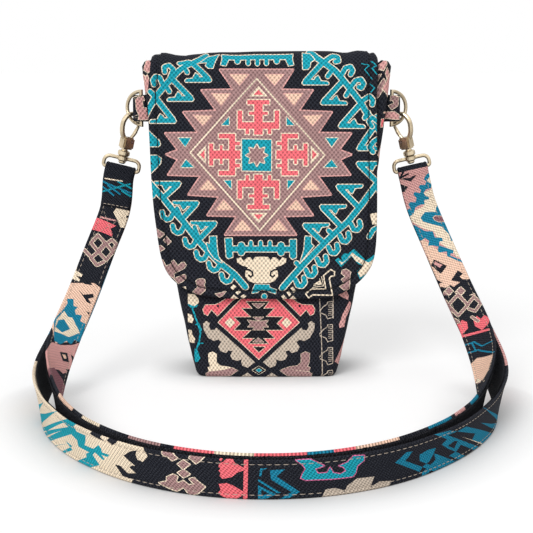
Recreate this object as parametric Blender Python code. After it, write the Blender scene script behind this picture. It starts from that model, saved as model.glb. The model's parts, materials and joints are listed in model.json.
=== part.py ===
"""Printed canvas crossbody phone pouch with two D-rings, two swivel trigger clasps and a doubled strap.

Metres, +Z up, front towards -Y. The origin is the middle of the pouch's foot, on the ground.
"""

from math import cos, pi, radians, sin, sqrt

import bmesh
import bpy
from mathutils import Matrix, Vector

MM = 0.001
FIT = 0.3 * MM

# Pouch: a tapering bag with a boxed foot
FOOT_WIDTH = 86.6 * MM
FOOT_DEPTH = 50 * MM
MOUTH_WIDTH = 153 * MM
MOUTH_DEPTH = 18.4 * MM
POUCH_HEIGHT = 187 * MM
SIDE_BOW = 0.33
PANEL_BULGE = 1.2 * MM
FOOT_ROUND = 3 * MM
CORNER_RADIUS = 6 * MM
CANVAS = 1.2 * MM
LINING = 0.7 * MM
LINING_DROP = 2 * MM

# Flap: sewn high on the back, over the mouth and down the front
FLAP_WIDTH = 139 * MM
FLAP_LOWER_WIDTH = 135 * MM
FLAP_OFFSET = -1.5 * MM
FLAP_TIP = 47 * MM
FLAP_BACK = 168 * MM
FLAP_CORNER = 29 * MM
FLAP_CLOTH = 1.3 * MM
FACING = 0.8 * MM
FACING_INSET = 2.5 * MM
FLAP_AIR = 0.5 * MM
FLAP_STANDOFF = 2.4 * MM

# Magnetic snap under the flap
SNAP_HEIGHT = 70 * MM
SNAP_RADIUS = 7 * MM
SNAP_PLATE = 0.9 * MM
SNAP_NUB_RADIUS = 2.4 * MM
SNAP_NUB = 0.5 * MM

# Side tabs and D-rings
WIRE = 1.2 * MM
D_HEIGHT = 23 * MM
D_REACH = 14.8 * MM
D_YAW = radians(40)
D_BAR_FROM_SEAM = 3.6 * MM
D_DROP = 21.8 * MM
D_CENTRE_HEIGHT = POUCH_HEIGHT - D_DROP
TAB_HEIGHT = 16.4 * MM
TAB_CLOTH = 1 * MM
TAB_REACH = 8.8 * MM

# Swivel trigger clasp, in its own frame: post on Z, crook above, strap loop below
CLASP_TILT = radians(13)
HOOK_YAW = radians(38)
CROSSING_REACH = 7.8 * MM
CROSSING_X = 1.4 * MM
CROSSING_Z = 22.5 * MM
POST_RADIUS = 1.1 * MM
KNOB_RADIUS = 2.3 * MM
KNOB_HEIGHT = 1.6 * MM
BOSS_RADIUS = 3.8 * MM
BOSS_HEIGHT = 3 * MM
NECK_RADIUS = 2 * MM
COLLAR_RADIUS = 3.4 * MM
COLLAR_HEIGHT = 3 * MM
KNUCKLE_BOTTOM = 4.3 * MM
KNUCKLE_TOP = 11.8 * MM
KNUCKLE_LEFT = -3.3 * MM
KNUCKLE_RIGHT = 4.4 * MM
CHEEK = 1.2 * MM
SLOT_HALF = 2.2 * MM
SLOT_LEFT = -0.5 * MM
GATE_PIVOT_X = 2.2 * MM
GATE_PIVOT_Z = 9.4 * MM
PIN_RADIUS = 0.8 * MM
BARREL_RADIUS = 2.3 * MM
GATE_RADIUS = 1.1 * MM
GATE_GAP = 0.8 * MM
NOSE_RADIUS = 1.25 * MM
CROOK_RADIUS = 1.6 * MM
SPRING_WIRE = 0.28 * MM
SPRING_TURNS = 1.5
SPRING_PITCH = 0.6 * MM
LOOP_PLAY = 0.2 * MM
LOOP_BAR_CORNER = 1.5 * MM
LOOP_BAR_DROP = 8.6 * MM
LOOP_SHOULDER = 3.6 * MM

# The crook's middle line, from the knuckle over the top to the nose
CROOK = [(-1.7, 10.2), (-3.9, 13.4), (-5, 17.4), (-4.9, 21.4), (-3, 25), (0.7, 26.7),
         (4.3, 25.7), (6.2, 23.1), (6.5, 20.4)]

# Strap: one flat band doubled through both loops, standing on edge on the ground in front
STRAP_WIDTH = 19 * MM
STRAP_CLOTH = 1.2 * MM
STRAP_SEWN = 1.9 * MM
STRAP_SPREAD = 10 * MM
STRAP_STEPS = 5

# Strap route down from each loop, in millimetres: out from the middle, forward, height, lean in degrees,
# share of the spread. The heights go with the loop's bar, which is 127.1 up.
HANG_BAR_HEIGHT = 127.1 * MM
HANG_LEFT = [(95.5, 2, 101, 4, 0.02), (104.5, -7, 77, 6, 0.05), (113.5, -23, 52, 12, 0.25),
             (121, -46, 32.5, 26, 0.6), (125, -77, 19.5, 50, 0.9), (122, -112, 12.6, 76, 1),
             (111.5, -148, 9.5, 90, 1), (93, -184, 9.5, 90, 1), (65, -216, 9.5, 90, 1),
             (33, -235, 9.5, 90, 1)]
HANG_RIGHT = [(97.5, 2, 104, 4, 0.02), (107.5, -7, 80, 6, 0.05), (118, -23, 55, 12, 0.25),
              (126.5, -46, 35, 26, 0.6), (130, -77, 20.5, 50, 0.9), (125.5, -112, 12.6, 76, 1),
              (113.5, -148, 9.5, 90, 1), (93.5, -184, 9.5, 90, 1), (65, -216, 9.5, 90, 1),
              (33, -235, 9.5, 90, 1)]
HANG_FRONT = (0, -241, 9.5, 90, 1)


def clear_scene():
    for obj in list(bpy.data.objects):
        bpy.data.objects.remove(obj, do_unlink=True)


def material(name, colour, roughness, metallic=0.0):
    made = bpy.data.materials.new(name)
    made.use_nodes = True
    shader = made.node_tree.nodes["Principled BSDF"]
    shader.inputs["Base Color"].default_value = (*colour, 1)
    shader.inputs["Roughness"].default_value = roughness
    shader.inputs["Metallic"].default_value = metallic
    return made


def add_object(name, bm, finish, frame=None, parent=None):
    """A named object from a bmesh, placed by frame, which is in the parent's space where there is one."""
    bmesh.ops.remove_doubles(bm, verts=bm.verts, dist=0.01 * MM)
    bmesh.ops.recalc_face_normals(bm, faces=bm.faces)
    mesh = bpy.data.meshes.new(name)
    bm.to_mesh(mesh)
    bm.free()
    if finish:
        mesh.materials.append(finish)
    mesh.shade_smooth()
    mesh.set_sharp_from_angle(angle=radians(40))
    obj = bpy.data.objects.new(name, mesh)
    bpy.context.scene.collection.objects.link(obj)
    obj.parent = parent
    obj.matrix_local = frame or Matrix.Identity(4)
    return obj


def add_boolean(obj, other, operation):
    """Joins or cuts with a helper object, which isn't part of the model."""
    other.hide_render = True
    other.display_type = "WIRE"
    modifier = obj.modifiers.new(other.name, "BOOLEAN")
    modifier.operation = operation
    modifier.solver = "EXACT"
    modifier.object = other


def bridge(bm, rings, close_rings=False):
    """Quads between neighbouring rings of vertices."""
    pairs = list(zip(rings, rings[1:]))
    if close_rings:
        pairs.append((rings[-1], rings[0]))
    for low, high in pairs:
        for i in range(len(low)):
            j = (i + 1) % len(low)
            bm.faces.new((low[i], low[j], high[j], high[i]))


def lathe(profile, sides=20):
    """A turned solid from (radius, height) points that start and end on the axis, or make a closed ring."""
    bm = bmesh.new()
    on_axis = profile[0][0] == 0
    inner = [point for point in profile if point[0] > 0]
    rings = []
    for radius, height in inner:
        ring = [bm.verts.new((radius * cos(2 * pi * k / sides), radius * sin(2 * pi * k / sides), height))
                for k in range(sides)]
        rings.append(ring)
    bridge(bm, rings, close_rings=not on_axis)
    if on_axis:
        bm.faces.new(rings[0])
        bm.faces.new(rings[-1])
    return bm


def smooth_path(points, steps):
    """Points on a Catmull-Rom curve through the given ones, as vectors of any length."""
    ends = [2 * points[0] - points[1], *points, 2 * points[-1] - points[-2]]
    path = []
    for a, b, c, d in zip(ends, ends[1:], ends[2:], ends[3:]):
        for k in range(steps):
            t = k / steps
            path.append(0.5 * (2 * b + (c - a) * t + (2 * a - 5 * b + 4 * c - d) * t * t
                               + (3 * b - a - 3 * c + d) * t ** 3))
    path.append(points[-1].copy())
    return path


def sweep_flat(points, radii, closed, sides=10):
    """A round wire along points in the XZ plane, with its turns mitred."""
    bm = bmesh.new()
    rings = []
    count = len(points)
    for k, (point, radius) in enumerate(zip(points, radii)):
        before = points[k - 1] if closed or k else None
        after = points[(k + 1) % count] if closed or k < count - 1 else None
        into = (point - before).normalized() if before is not None else (after - point).normalized()
        out = (after - point).normalized() if after is not None else into
        along = (into + out).normalized()
        across = Vector((-along.z, 0, along.x))
        stretch = 1 / max(0.5, along.dot(into))
        rings.append([bm.verts.new(point + across * radius * stretch * cos(2 * pi * s / sides)
                                   + Vector((0, radius * sin(2 * pi * s / sides), 0))) for s in range(sides)])
    bridge(bm, rings, close_rings=closed)
    if not closed:
        bm.faces.new(rings[0])
        bm.faces.new(rings[-1])
    return bm


def sweep_tube(points, radius, sides=6):
    """A round wire along points in space, its section carried along without twisting."""
    bm = bmesh.new()
    rings = []
    side = Vector((0, 1, 0))
    for k, point in enumerate(points):
        along = (points[min(k + 1, len(points) - 1)] - points[max(k - 1, 0)]).normalized()
        side = (side - along * side.dot(along)).normalized()
        up = along.cross(side)
        rings.append([bm.verts.new(point + radius * (side * cos(2 * pi * s / sides) + up * sin(2 * pi * s / sides)))
                      for s in range(sides)])
    bridge(bm, rings)
    bm.faces.new(rings[0])
    bm.faces.new(rings[-1])
    return bm


def half_width(z):
    share = z / POUCH_HEIGHT
    return (FOOT_WIDTH + (MOUTH_WIDTH - FOOT_WIDTH) * (share + SIDE_BOW * share * (1 - share))) / 2


def half_depth(z):
    return (FOOT_DEPTH + (MOUTH_DEPTH - FOOT_DEPTH) * z / POUCH_HEIGHT) / 2


def pouch_ring(bm, z, inset):
    """A rounded oblong across the pouch at height z, drawn in by inset, its long sides slightly bulged."""
    wide = half_width(z) - inset
    deep = half_depth(z) - inset
    radius = min(CORNER_RADIUS, deep * 0.9)
    corner_steps = 4
    side_steps = 4
    points = []
    for corner, (sx, sy) in enumerate([(1, 1), (-1, 1), (-1, -1), (1, -1)]):
        for k in range(corner_steps + 1):
            turn = pi / 2 * (corner + k / corner_steps)
            points.append((sx * (wide - radius) + radius * cos(turn), sy * (deep - radius) + radius * sin(turn)))
        if corner in (0, 2):
            for k in range(1, side_steps):
                share = 2 * k / side_steps - 1
                points.append((-sx * share * (wide - radius), sy * (deep + PANEL_BULGE * (1 - share * share))))
    return [bm.verts.new((x, y, z)) for x, y in points]


def pouch_shell(inset, cloth, foot, top):
    """An open-topped cloth shell: outer wall up, inner wall down, both closed at the foot."""
    bm = bmesh.new()
    outer = [pouch_ring(bm, foot, inset + FOOT_ROUND * 0.6), pouch_ring(bm, foot + FOOT_ROUND * 0.35, inset + FOOT_ROUND * 0.15)]
    inner = [pouch_ring(bm, foot + cloth, inset + cloth + FOOT_ROUND * 0.6)]
    levels = 8
    for k in range(levels + 1):
        z = foot + FOOT_ROUND + (top - foot - FOOT_ROUND) * k / levels
        outer.append(pouch_ring(bm, z, inset))
        inner.append(pouch_ring(bm, z, inset + cloth))
    bridge(bm, outer + inner[::-1])
    bm.faces.new(outer[0])
    bm.faces.new(inner[0])
    return bm


def flap_path(depth_from_face):
    """The flap's section, from its seam on the back over the fold to its tip, at a depth below its outer face."""
    lift = PANEL_BULGE + FLAP_AIR + FACING + FIT + FLAP_CLOTH - depth_from_face
    fold = MOUTH_DEPTH / 2 + lift
    points = [Vector((0, half_depth(z) + lift, z)) for z in (FLAP_BACK, (FLAP_BACK + POUCH_HEIGHT) / 2)]
    turn_steps = 8
    for k in range(turn_steps + 1):
        turn = pi * k / turn_steps
        points.append(Vector((0, fold * cos(turn), POUCH_HEIGHT + fold * sin(turn))))
    return points


def flap_front(z, depth_from_face):
    """How far forward the flap lies at height z: it stands off the pouch more towards its tip."""
    share = (POUCH_HEIGHT - z) / (POUCH_HEIGHT - FLAP_TIP)
    stand = FLAP_AIR + PANEL_BULGE + FLAP_STANDOFF * share
    return -(half_depth(z) + stand + FACING + FIT + FLAP_CLOTH - depth_from_face)


def flap_half(z, margin):
    """Half the flap's width at height z on its front, with its lower corners rounded."""
    share = (POUCH_HEIGHT - z) / (POUCH_HEIGHT - FLAP_TIP)
    half = (FLAP_WIDTH + (FLAP_LOWER_WIDTH - FLAP_WIDTH) * share) / 2 - margin
    rise = z - FLAP_TIP - margin
    if rise < FLAP_CORNER:
        half -= FLAP_CORNER - sqrt(max(0, FLAP_CORNER ** 2 - (FLAP_CORNER - rise) ** 2))
    return half


def flap_sheet(depth_from_face, cloth, margin, across):
    """A cloth sheet over the mouth and down the front, as a closed solid."""
    bm = bmesh.new()
    grids = []
    for depth in (depth_from_face, depth_from_face + cloth):
        rows = [(point, FLAP_WIDTH / 2 - margin) for point in flap_path(depth)]
        top = POUCH_HEIGHT
        tip = FLAP_TIP + margin
        straight = [top + (tip + FLAP_CORNER - top) * k / 6 for k in range(1, 7)]
        rounded = [tip + FLAP_CORNER * (1 - sin(pi / 2 * k / 8)) for k in range(1, 9)]
        for z in straight + rounded:
            rows.append((Vector((0, flap_front(z, depth), z)), flap_half(z, margin)))
        grids.append([[bm.verts.new(point + Vector((FLAP_OFFSET + half * (2 * k / across - 1), 0, 0)))
                       for k in range(across + 1)] for point, half in rows])
    for grid in grids:
        for low, high in zip(grid, grid[1:]):
            for k in range(across):
                bm.faces.new((low[k], low[k + 1], high[k + 1], high[k]))
    rims = []
    for grid in grids:
        rims.append(grid[0] + [row[-1] for row in grid[1:]] + grid[-1][-2::-1] + [row[0] for row in grid[-2:0:-1]])
    bridge(bm, rims)
    return bm


def snap_frame(z):
    """A frame on the pouch's front at height z, its Z axis pointing out of the canvas."""
    lean = (FOOT_DEPTH - MOUTH_DEPTH) / 2 / POUCH_HEIGHT
    return Matrix.Translation((0, -half_depth(z) - PANEL_BULGE, z)) @ Matrix.Rotation(pi / 2 - lean, 4, "X")


def build_pouch(canvas, lining_cloth):
    add_object("outer_shell", pouch_shell(0, CANVAS, 0, POUCH_HEIGHT), canvas)
    inset = CANVAS + FIT
    add_object("lining", pouch_shell(inset, LINING, inset, POUCH_HEIGHT - LINING_DROP), lining_cloth)


def build_flap(canvas, lining_cloth):
    add_object("flap", flap_sheet(0, FLAP_CLOTH, 0, 12), canvas)
    add_object("flap_facing", flap_sheet(FLAP_CLOTH + FIT, FACING, FACING_INSET, 10), lining_cloth)


def build_snap(steel):
    share = (POUCH_HEIGHT - SNAP_HEIGHT) / (POUCH_HEIGHT - FLAP_TIP)
    room = FLAP_AIR + FLAP_STANDOFF * share
    stud = [(0, FIT), (SNAP_RADIUS, FIT), (SNAP_RADIUS, FIT + SNAP_PLATE * 0.6), (SNAP_RADIUS - 0.6 * MM, FIT + SNAP_PLATE),
            (SNAP_NUB_RADIUS, FIT + SNAP_PLATE), (SNAP_NUB_RADIUS, FIT + SNAP_PLATE + SNAP_NUB), (0, FIT + SNAP_PLATE + SNAP_NUB)]
    add_object("snap_stud", lathe(stud), steel, snap_frame(SNAP_HEIGHT))
    low = room - FIT - SNAP_PLATE
    bore = SNAP_NUB_RADIUS + FIT
    socket = [(bore, low), (SNAP_RADIUS - 0.6 * MM, low), (SNAP_RADIUS, low + SNAP_PLATE * 0.4),
              (SNAP_RADIUS, low + SNAP_PLATE), (bore, low + SNAP_PLATE)]
    add_object("snap_socket", lathe(socket), steel, snap_frame(SNAP_HEIGHT))


def build_tab(name, side, canvas):
    """A strip folded round the D-ring's bar, its two layers meeting at the side seam."""
    cavity = WIRE + FIT
    outer = cavity + TAB_CLOTH
    reach = seam_out(D_CENTRE_HEIGHT) + TAB_REACH - outer
    bm = bmesh.new()
    fold_steps = 6
    rings = []
    for z in (D_CENTRE_HEIGHT + TAB_HEIGHT * end for end in (-0.5, 0.5)):
        seam = seam_out(z)
        loops = []
        for radius in (outer, cavity):
            fold = [(reach + radius * sin(pi * k / fold_steps), radius * cos(pi * k / fold_steps))
                    for k in range(fold_steps + 1)]
            loops.append([(seam, radius)] + fold + [(seam, -radius)])
        rings.append([bm.verts.new((side * x, y, z)) for x, y in loops[0] + loops[1][::-1]])
    bridge(bm, rings)
    bm.faces.new(rings[0])
    bm.faces.new(rings[1])
    return add_object(name, bm, canvas)


def seam_out(z):
    """How far out a tab meets the side seam at height z."""
    return half_width(z) + FIT


def d_ring_frame(side):
    """On the bar, with X along the ring's reach: the outer end is turned back from the camera side."""
    out = Vector((side * cos(D_YAW), sin(D_YAW), 0))
    across = Vector((0, 0, 1)).cross(out)
    turn = Matrix((out, across, (0, 0, 1))).transposed().to_4x4()
    bar = seam_out(D_CENTRE_HEIGHT) + D_BAR_FROM_SEAM
    return Matrix.Translation((side * bar, 0, D_CENTRE_HEIGHT)) @ turn


def build_d_ring(name, side, brass):
    tall = D_HEIGHT / 2 - WIRE
    reach = D_REACH - 2 * WIRE
    points = [Vector((reach * sin(pi * k / 18), 0, tall * cos(pi * k / 18))) for k in range(19)]
    points += [Vector((0, 0, -tall + 2 * tall * k / 4)) for k in range(1, 4)]
    return add_object(name, sweep_flat(points, [WIRE] * len(points), True), brass, d_ring_frame(side))


def crossing(side):
    """Where the crook passes over the D-ring's wire."""
    tall = D_HEIGHT / 2 - WIRE
    reach = D_REACH - 2 * WIRE
    drop = tall * sqrt(1 - (CROSSING_REACH / reach) ** 2)
    return d_ring_frame(side) @ Vector((CROSSING_REACH, 0, -drop))


def clasp_axes(side, yaw):
    """The clasp's axes: X towards the bag, Z up the swivel post, turned about the post by yaw."""
    up = Vector((-side * sin(CLASP_TILT), 0, cos(CLASP_TILT)))
    inward = Vector((-side * cos(CLASP_TILT), 0, -sin(CLASP_TILT)))
    turn = Matrix((inward, up.cross(inward), up)).transposed().to_4x4()
    return turn @ Matrix.Rotation(-side * yaw, 4, "Z")


def hook_frame(side):
    turn = clasp_axes(side, HOOK_YAW)
    return Matrix.Translation(crossing(side) - turn @ Vector((CROSSING_X, 0, CROSSING_Z))) @ turn


def bar_frame(side):
    """On the loop's bar, which the strap's fold goes round."""
    turn = clasp_axes(side, 0)
    post = hook_frame(side).translation
    return Matrix.Translation(post - turn @ Vector((0, 0, LOOP_BAR_DROP))) @ turn


def build_swivel_ring(name, side, brass):
    """The strap loop: a rounded oblong of wire with a bored collar at the middle of its top."""
    half = STRAP_WIDTH / 2 + LOOP_PLAY + LOOP_BAR_CORNER
    top = LOOP_BAR_DROP - FIT - COLLAR_HEIGHT / 2
    corners = [(1, LOOP_BAR_CORNER, LOOP_BAR_CORNER, -90), (1, LOOP_SHOULDER, top - LOOP_SHOULDER, 0),
               (-1, LOOP_SHOULDER, top - LOOP_SHOULDER, 90), (-1, LOOP_BAR_CORNER, LOOP_BAR_CORNER, 180)]
    points = []
    for end, radius, z, start in corners:
        for k in range(6):
            turn = radians(start + 18 * k)
            points.append(Vector((end * (half - radius) + radius * cos(turn), 0, z + radius * sin(turn))))
    ring = add_object(name, sweep_flat(points, [WIRE] * len(points), True), brass, bar_frame(side))
    low = LOOP_BAR_DROP - FIT - COLLAR_HEIGHT
    high = low + COLLAR_HEIGHT
    edge = 0.5 * MM
    collar = lathe([(0, low), (COLLAR_RADIUS - edge, low), (COLLAR_RADIUS, low + edge), (COLLAR_RADIUS, high - edge),
                    (COLLAR_RADIUS - edge, high), (0, high)])
    add_boolean(ring, add_object(name + "_collar", collar, None, None, ring), "UNION")
    bore = POST_RADIUS + FIT
    drill = lathe([(0, low - MM), (bore, low - MM), (bore, high + MM), (0, high + MM)])
    add_boolean(ring, add_object(name + "_bore", drill, None, None, ring), "DIFFERENCE")
    return ring


def box(low, high):
    bm = bmesh.new()
    bmesh.ops.create_cube(bm, size=1)
    for vert in bm.verts:
        vert.co = Vector(low) + Vector((a + 0.5) * (h - l) for a, h, l in zip(vert.co, high, low))
    return bm


def cross_rod(radius, half_length, sides=16):
    """A rod along Y through the origin."""
    bm = lathe([(0, -half_length), (radius, -half_length), (radius, half_length), (0, half_length)], sides)
    bmesh.ops.rotate(bm, verts=bm.verts, cent=(0, 0, 0), matrix=Matrix.Rotation(pi / 2, 3, "X"))
    return bm


def build_hook(name, side, brass, ring):
    """The cast crook on its knuckle and boss, with the swivel post peened over under the loop's collar."""
    frame = bar_frame(side).inverted() @ hook_frame(side)
    cheek_out = SLOT_HALF + CHEEK
    knuckle = box((KNUCKLE_LEFT, -cheek_out, KNUCKLE_BOTTOM), (KNUCKLE_RIGHT, cheek_out, KNUCKLE_TOP))
    bmesh.ops.bevel(knuckle, geom=knuckle.edges, offset=0.9 * MM, segments=2, affect="EDGES")
    hook = add_object(name, knuckle, brass, frame, ring)
    under = -FIT - COLLAR_HEIGHT - FIT
    post = lathe([(0, under - KNOB_HEIGHT), (KNOB_RADIUS * 0.65, under - KNOB_HEIGHT), (KNOB_RADIUS, under - KNOB_HEIGHT * 0.55),
                  (KNOB_RADIUS, under), (POST_RADIUS, under), (POST_RADIUS, 0), (BOSS_RADIUS - 0.5 * MM, 0),
                  (BOSS_RADIUS, 0.5 * MM), (BOSS_RADIUS, BOSS_HEIGHT - 0.5 * MM), (BOSS_RADIUS - 0.5 * MM, BOSS_HEIGHT),
                  (NECK_RADIUS, BOSS_HEIGHT + 0.3 * MM), (NECK_RADIUS, KNUCKLE_BOTTOM + MM), (0, KNUCKLE_BOTTOM + MM)])
    add_boolean(hook, add_object(name + "_post", post, None, None, hook), "UNION")
    slot = box((SLOT_LEFT, -SLOT_HALF, GATE_PIVOT_Z - BARREL_RADIUS - FIT), (KNUCKLE_RIGHT + MM, SLOT_HALF, KNUCKLE_TOP + MM))
    add_boolean(hook, add_object(name + "_slot", slot, None, None, hook), "DIFFERENCE")
    path = smooth_path([Vector((x, 0, z)) * MM for x, z in CROOK], 3)
    last = len(path) - 1
    radii = [CROOK_RADIUS + (NOSE_RADIUS - CROOK_RADIUS) * (k / last) ** 2 for k in range(last + 1)]
    add_boolean(hook, add_object(name + "_crook", sweep_flat(path, radii, False), None, None, hook), "UNION")
    hole = cross_rod(PIN_RADIUS + FIT, cheek_out + MM)
    pivot = Matrix.Translation((GATE_PIVOT_X, 0, GATE_PIVOT_Z))
    add_boolean(hook, add_object(name + "_pin_hole", hole, None, pivot, hook), "DIFFERENCE")
    return hook


def build_gate(side_name, hook, brass, steel):
    """The gate, its pin and its torsion spring, each with its origin on the pin's axis."""
    pivot = Matrix.Translation((GATE_PIVOT_X, 0, GATE_PIVOT_Z))
    nose = Vector((CROOK[-1][0], 0, CROOK[-1][1])) * MM - pivot.translation
    tip = nose - Vector((0, 0, GATE_GAP))
    root = Vector((0.6 * MM, 0, BARREL_RADIUS - FIT))
    middle = (root + tip) / 2 + Vector((0.5 * MM, 0, 0))
    lever = sweep_flat([root, (root + middle) / 2 + Vector((0.2 * MM, 0, 0)), middle, (middle + tip) / 2, tip],
                       [GATE_RADIUS, GATE_RADIUS, GATE_RADIUS * 1.15, GATE_RADIUS, GATE_RADIUS * 0.9], False)
    gate = add_object(side_name + "_gate", lever, brass, pivot, hook)
    barrel = cross_rod(BARREL_RADIUS, MM, 18)
    shift = Matrix.Translation((0, MM - SLOT_HALF + FIT, 0))
    add_boolean(gate, add_object(side_name + "_gate_barrel", barrel, None, shift, gate), "UNION")
    bore = cross_rod(PIN_RADIUS + FIT, SLOT_HALF + MM)
    add_boolean(gate, add_object(side_name + "_gate_bore", bore, None, None, gate), "DIFFERENCE")
    add_object(side_name + "_gate_pin", cross_rod(PIN_RADIUS, SLOT_HALF + CHEEK + 0.2 * MM), steel, pivot, hook)
    radius = PIN_RADIUS + FIT + SPRING_WIRE + 0.1 * MM
    start = 2 * MM - SLOT_HALF + FIT + FIT + SPRING_WIRE
    turns = [Vector((radius * sin(2 * pi * k / 12), start + SPRING_PITCH * k / 12, radius * cos(2 * pi * k / 12)))
             for k in range(int(12 * SPRING_TURNS) + 1)]
    leg = turns[-1] + Vector((-1.2 * MM, 0, 0))
    add_object(side_name + "_gate_spring", sweep_tube(turns + [leg], SPRING_WIRE), steel, pivot, hook)


def strap_stations():
    """Middle line of the doubled strap from the left loop to the right one: place, lean and spread."""
    def station(side, out, forward, height, lean, spread):
        lift = bar_frame(side).translation.z / HANG_BAR_HEIGHT
        return Vector((side * out * MM, forward * MM, height * lift * MM, radians(lean) * MM, spread * MM))

    def at_bar(side):
        frame = bar_frame(side)
        bar = frame.translation
        below = frame @ Vector((0, 0, -7 * MM))
        tilt = CLASP_TILT * MM
        return [Vector((*bar, tilt, 0)), Vector((*below, tilt, 0))]

    left = at_bar(-1) + [station(-1, *row) for row in HANG_LEFT]
    right = at_bar(1) + [station(1, *row) for row in HANG_RIGHT]
    return left + [station(1, *HANG_FRONT)] + right[::-1]


def strap_frames():
    """Middle points of the strap with its tangent, width direction, inner-face direction and spread."""
    path = smooth_path(strap_stations(), STRAP_STEPS)
    frames = []
    last = len(path) - 1
    for k, row in enumerate(path):
        before = path[max(k - 1, 0)]
        after = path[min(k + 1, last)]
        along = Vector((after[0] - before[0], after[1] - before[1], after[2] - before[2])).normalized()
        lean = row[3] / MM
        side = 1 if k > last / 2 else -1
        guide = Vector((-side * cos(lean), 0, -sin(lean)))
        width = (guide - along * guide.dot(along)).normalized()
        inner = along.cross(width)
        spread = row[4] / MM
        layers = (STRAP_SEWN + (STRAP_SPREAD - STRAP_SEWN) * spread + STRAP_CLOTH) / 2
        lowest = STRAP_WIDTH / 2 * abs(width.z) + layers * abs(inner.z)
        frames.append((Vector((row[0], row[1], max(row[2], lowest))), along, width, inner, spread))
    return frames


def build_strap(canvas):
    """Two layers of one closed band, folded round each loop's bar and spread apart on the ground."""
    fold = WIRE + FIT + STRAP_CLOTH / 2
    frames = strap_frames()
    last = len(frames) - 1
    path = []
    for layer in (1, -1):
        run = frames if layer == 1 else frames[::-1]
        for point, along, width, inner, spread in run:
            from_bar = min((point - frames[0][0]).length, (point - frames[last][0]).length)
            near = max(0, 1 - from_bar / (6 * MM)) ** 2
            gap = (STRAP_SEWN + (STRAP_SPREAD - STRAP_SEWN) * spread) / 2
            gap += (fold - gap) * near * (3 - 2 * near)
            path.append((point + inner * gap * layer, inner * layer, width))
        point, along, width, inner, spread = run[-1]
        outward = along if layer == 1 else -along
        fold_steps = 6
        for k in range(1, fold_steps):
            turn = pi * k / fold_steps
            away = inner * layer * cos(turn) + outward * sin(turn)
            path.append((point + away * fold, away, width))
    bm = bmesh.new()
    rings = []
    for point, away, width in path:
        half = width * STRAP_WIDTH / 2
        skin = away * STRAP_CLOTH / 2
        rings.append([bm.verts.new(point + half * a + skin * b) for a, b in ((1, 1), (-1, 1), (-1, -1), (1, -1))])
    bridge(bm, rings, close_rings=True)
    return add_object("strap", bm, canvas)


def main():
    clear_scene()
    canvas = material("printed_canvas", (0.02, 0.023, 0.035), 0.85)
    strap_canvas = material("strap_canvas", (0.02, 0.12, 0.16), 0.85)
    lining_cloth = material("lining_cloth", (0.015, 0.016, 0.02), 0.8)
    brass = material("antique_brass", (0.55, 0.46, 0.33), 0.35, 1)
    steel = material("spring_steel", (0.5, 0.5, 0.5), 0.35, 1)
    build_pouch(canvas, lining_cloth)
    build_flap(canvas, lining_cloth)
    build_snap(steel)
    for name, side in (("left", -1), ("right", 1)):
        build_tab(name + "_tab", side, canvas)
        build_d_ring(name + "_d_ring", side, brass)
        ring = build_swivel_ring(name + "_swivel_ring", side, brass)
        hook = build_hook(name + "_hook", side, brass, ring)
        build_gate(name, hook, brass, steel)
    build_strap(strap_canvas)


main()
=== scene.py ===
"""Looks of the printed canvas phone pouch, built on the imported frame.

Flat patterns are in millimetres on the cloth, and what stands in the scene is in metres. Places that were
read off the photograph are in its pixels, and a camera ray carries them to the cloth that they lie on.
"""

import json
from bisect import bisect_left
from math import asin, cos, exp, hypot, pi, radians, sin, sqrt

import bmesh
import bpy
import numpy as np
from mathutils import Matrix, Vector, geometry, noise

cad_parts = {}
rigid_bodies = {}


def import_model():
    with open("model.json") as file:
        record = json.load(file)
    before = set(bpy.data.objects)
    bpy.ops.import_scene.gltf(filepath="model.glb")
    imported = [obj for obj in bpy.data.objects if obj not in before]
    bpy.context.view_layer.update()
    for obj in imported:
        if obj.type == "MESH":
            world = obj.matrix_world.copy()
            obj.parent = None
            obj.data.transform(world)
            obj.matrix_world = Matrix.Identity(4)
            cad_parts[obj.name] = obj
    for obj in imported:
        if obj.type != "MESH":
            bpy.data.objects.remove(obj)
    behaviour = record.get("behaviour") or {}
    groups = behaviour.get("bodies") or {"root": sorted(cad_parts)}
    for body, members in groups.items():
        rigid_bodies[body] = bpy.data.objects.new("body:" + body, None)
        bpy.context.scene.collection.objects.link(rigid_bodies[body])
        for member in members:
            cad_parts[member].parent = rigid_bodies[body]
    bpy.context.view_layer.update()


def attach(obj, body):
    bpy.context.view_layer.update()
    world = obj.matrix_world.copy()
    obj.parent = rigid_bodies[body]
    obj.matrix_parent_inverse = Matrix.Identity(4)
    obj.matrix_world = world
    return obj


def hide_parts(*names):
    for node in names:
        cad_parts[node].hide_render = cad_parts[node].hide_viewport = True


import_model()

MM = 0.001

# Camera: a 90 mm lens on a 36 mm sensor, looking down a little from in front
LENS = 90
SENSOR = 36
PHOTO_SIDE = 533
FOCAL_PIXELS = PHOTO_SIDE * LENS / SENSOR
CAMERA_PLACE = Vector((0, -831, 212))
CAMERA_PITCH = radians(10)

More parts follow.
